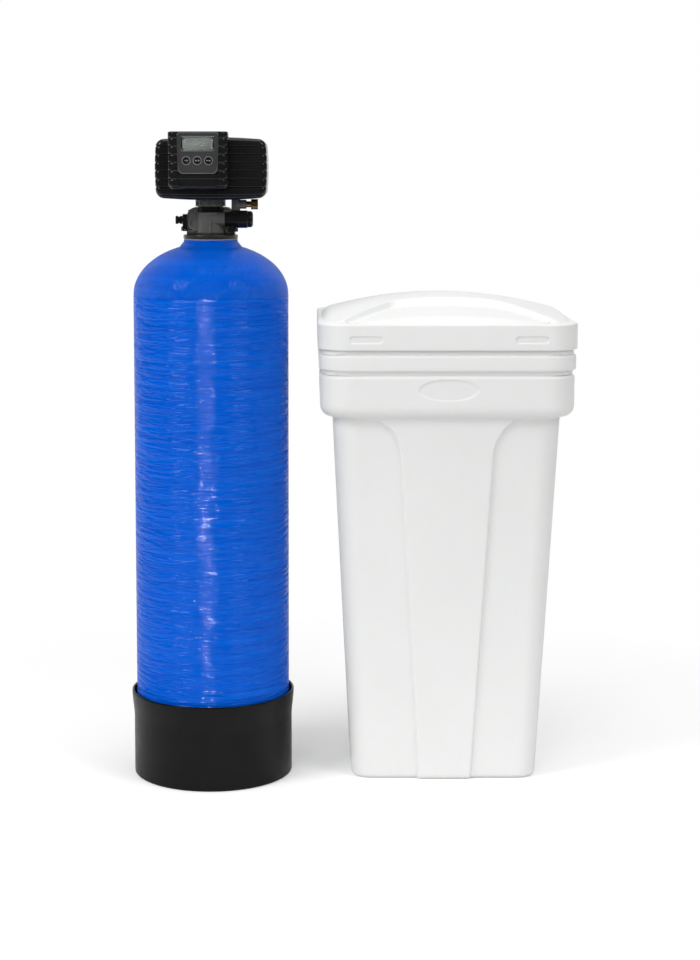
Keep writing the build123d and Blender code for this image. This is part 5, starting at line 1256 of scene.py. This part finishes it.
class SOFTENER_OT_stage(bpy.types.Operator):
    """Makes the floor, the studio light and the camera at the photograph's angle"""

    bl_idname = "softener.stage"
    bl_label = "Stage"

    def execute(self, context):
        s = settings("stage")
        scene = context.scene
        mesh = bpy.data.meshes.new("studio_floor")
        mesh.from_pydata([(x * FLOOR_HALF, y * FLOOR_HALF, 0)
                          for x, y in ((-1, -1), (1, -1), (1, 1), (-1, 1))], [], [(0, 1, 2, 3)])
        floor = bpy.data.objects.new("studio_floor", mesh)
        floor.location.z = -FLOOR_DROP
        scene.collection.objects.link(floor)
        self.paint_floor(mesh, s)
        self.make_world(scene, s)
        self.soft_box("left_box", -51.0, 2.4, 1.2, 1.2, s.key, 1.9, 38.0)
        self.soft_box("right_box", 49.0, 2.5, 1.1, 1.2, s.key * 0.55, 1.9, 38.0)
        fill = self.soft_box("front_fill", -14.0, 3.5, 1.5, 1.0, s.key * 0.8, 1.0, 12.0)
        fill.visible_glossy = False
        strip = self.soft_box("front_strip", -5.9, 3.4, 0.22, 0.75, s.key * s.sparkle)
        strip.visible_diffuse = False
        mirrors = bpy.data.collections.new("strip_mirrors")
        mirrors.objects.link(bpy.data.objects["wound_vessel"])
        strip.light_linking.receiver_collection = mirrors
        overhead = self.area_light("overhead", *OVERHEAD_SIZE, s.key * 0.36)
        overhead.location = OVERHEAD_PLACE
        camera = bpy.data.objects.new("camera", bpy.data.cameras.new("camera"))
        scene.collection.objects.link(camera)
        camera.location = CAMERA_PLACE
        camera.rotation_euler = (math.pi / 2 - s.pitch, 0, 0)
        camera.data.lens = s.lens
        camera.data.sensor_width = SENSOR_WIDTH
        camera.data.shift_x, camera.data.shift_y = CAMERA_SHIFT
        scene.camera = camera
        scene.view_settings.view_transform = "Standard"
        return {"FINISHED"}

    def paint_floor(self, mesh, s):
        """White with the object's shadow; far off it is as bright as the background."""
        f = Finish("floor_white")
        path = f.node("ShaderNodeLightPath").outputs
        in_front = f.maths("MAXIMUM", path["Is Camera Ray"],
                           f.ramp(f.apart()["Y"], *ROOM_EDGE))
        diffuse = f.node("ShaderNodeBsdfDiffuse",
                         Color=f.mix_colour(in_front, ROOM_FLOOR, tuple(s.floor_white)))
        fill = f.node("ShaderNodeEmission", Color=(1, 1, 1, 1), Strength=s.floor_fill)
        lit = f.node("ShaderNodeAddShader")
        f.link(diffuse.outputs[0], lit.inputs[0])
        f.link(fill.outputs[0], lit.inputs[1])
        glow = f.node("ShaderNodeEmission", Color=(1, 1, 1, 1), Strength=1.0)
        near = f.node("ShaderNodeMixShader")
        f.link(path["Is Camera Ray"], near.inputs[0])
        f.link(diffuse.outputs[0], near.inputs[1])
        f.link(lit.outputs[0], near.inputs[2])
        centre = f.node("ShaderNodeVectorMath", operation="DISTANCE")
        f.link(f.where.outputs["Object"], centre.inputs[0])
        centre.inputs[1].default_value = SHADOW_CENTRE
        away = f.ramp(centre.outputs["Value"], SHADOW_NEAR, SHADOW_FAR)
        far = f.maths("MULTIPLY", away, in_front)
        mirrored = f.maths("MAXIMUM", path["Is Glossy Ray"], path["Is Transmission Ray"])
        seen = f.maths("MAXIMUM", path["Is Camera Ray"], mirrored)
        mix = f.node("ShaderNodeMixShader")
        f.link(f.maths("MULTIPLY", far, seen), mix.inputs[0])
        f.link(near.outputs[0], mix.inputs[1])
        f.link(glow.outputs[0], mix.inputs[2])
        f.link(mix.outputs[0], f.tree.nodes["Material Output"].inputs["Surface"])
        f.tree.nodes.remove(f.shader)
        mesh.materials.append(f.material)

    def make_world(self, scene, s):
        """A white backdrop behind the object, a dim room in front and a soft even light."""
        world = bpy.data.worlds.new("studio")
        world.use_nodes = True
        tree = world.node_tree
        path = add_node(tree, "ShaderNodeLightPath").outputs
        seen = add_maths(tree, "MAXIMUM", path["Is Camera Ray"], path["Is Transmission Ray"])
        through = add_node(tree, "ShaderNodeMapRange", Value=seen, To_Min=s.room, To_Max=1.0)
        place = add_node(tree, "ShaderNodeTexCoord").outputs["Generated"]
        way = add_node(tree, "ShaderNodeSeparateXYZ", Vector=place)
        behind = add_node(tree, "ShaderNodeMapRange", interpolation_type="SMOOTHSTEP",
                          Value=way.outputs["Y"], From_Min=BACKDROP_EDGE,
                          From_Max=BACKDROP_FULL, To_Min=through.outputs[0], To_Max=1.0)
        mirrored = add_maths(tree, "MAXIMUM", seen, path["Is Glossy Ray"])
        level = add_node(tree, "ShaderNodeMix", data_type="FLOAT")
        tree.links.new(mirrored, level.inputs[0])
        level.inputs[2].default_value = s.ambient
        tree.links.new(behind.outputs[0], level.inputs[3])
        background = tree.nodes["Background"]
        tree.links.new(level.outputs[0], background.inputs["Strength"])
        background.inputs["Color"].default_value = (1, 1, 1, 1)
        scene.world = world

    def area_light(self, name, width, height, power):
        """An area light at the origin that shines down."""
        light = bpy.data.lights.new(name, "AREA")
        light.shape = "RECTANGLE"
        light.size, light.size_y = width, height
        light.energy = power
        lamp = bpy.data.objects.new(name, light)
        bpy.context.scene.collection.objects.link(lamp)
        return lamp

    def soft_box(self, name, turn, distance, width, height, power, lift=0.05, tilt=0.0):
        """An area light turned round the vessel from straight in front, and tilted down."""
        lamp = self.area_light(name, width, height, power)
        angle = math.radians(turn)
        lamp.location = (distance * math.sin(angle), -distance * math.cos(angle),
                         height / 2 + lift)
        lamp.rotation_euler = (math.radians(90 - tilt), 0, angle)
        return lamp


class SOFTENER_PT_panel(bpy.types.Panel):
    """Lists the softener's pieces in the sidebar"""

    bl_idname = "SOFTENER_PT_panel"
    bl_label = "Water softener"
    bl_space_type = "VIEW_3D"
    bl_region_type = "UI"
    bl_category = "Softener"

    def draw(self, context):
        for operator in OPERATORS:
            self.layout.operator(operator.bl_idname)


GROUPS = {
    "vessel": SoftenerVesselSettings, "tank": SoftenerTankSettings,
    "head": SoftenerHeadSettings, "stage": SoftenerStageSettings,
}
OPERATORS = (
    SOFTENER_OT_vessel, SOFTENER_OT_boot, SOFTENER_OT_tank, SOFTENER_OT_lid,
    SOFTENER_OT_valve, SOFTENER_OT_head, SOFTENER_OT_display, SOFTENER_OT_buttons,
    SOFTENER_OT_stage,
)


def register():
    for cls in (*GROUPS.values(), *OPERATORS, SOFTENER_PT_panel):
        bpy.utils.register_class(cls)
    for name, group in GROUPS.items():
        setattr(bpy.types.Scene, "softener_" + name, PointerProperty(type=group))


def unregister():
    for name in GROUPS:
        delattr(bpy.types.Scene, "softener_" + name)
    for cls in reversed((*GROUPS.values(), *OPERATORS, SOFTENER_PT_panel)):
        bpy.utils.unregister_class(cls)


def main():
    register()
    for operator in OPERATORS:
        group, name = operator.bl_idname.split(".")
        getattr(getattr(bpy.ops, group), name)()


if __name__ == "__main__":
    main()
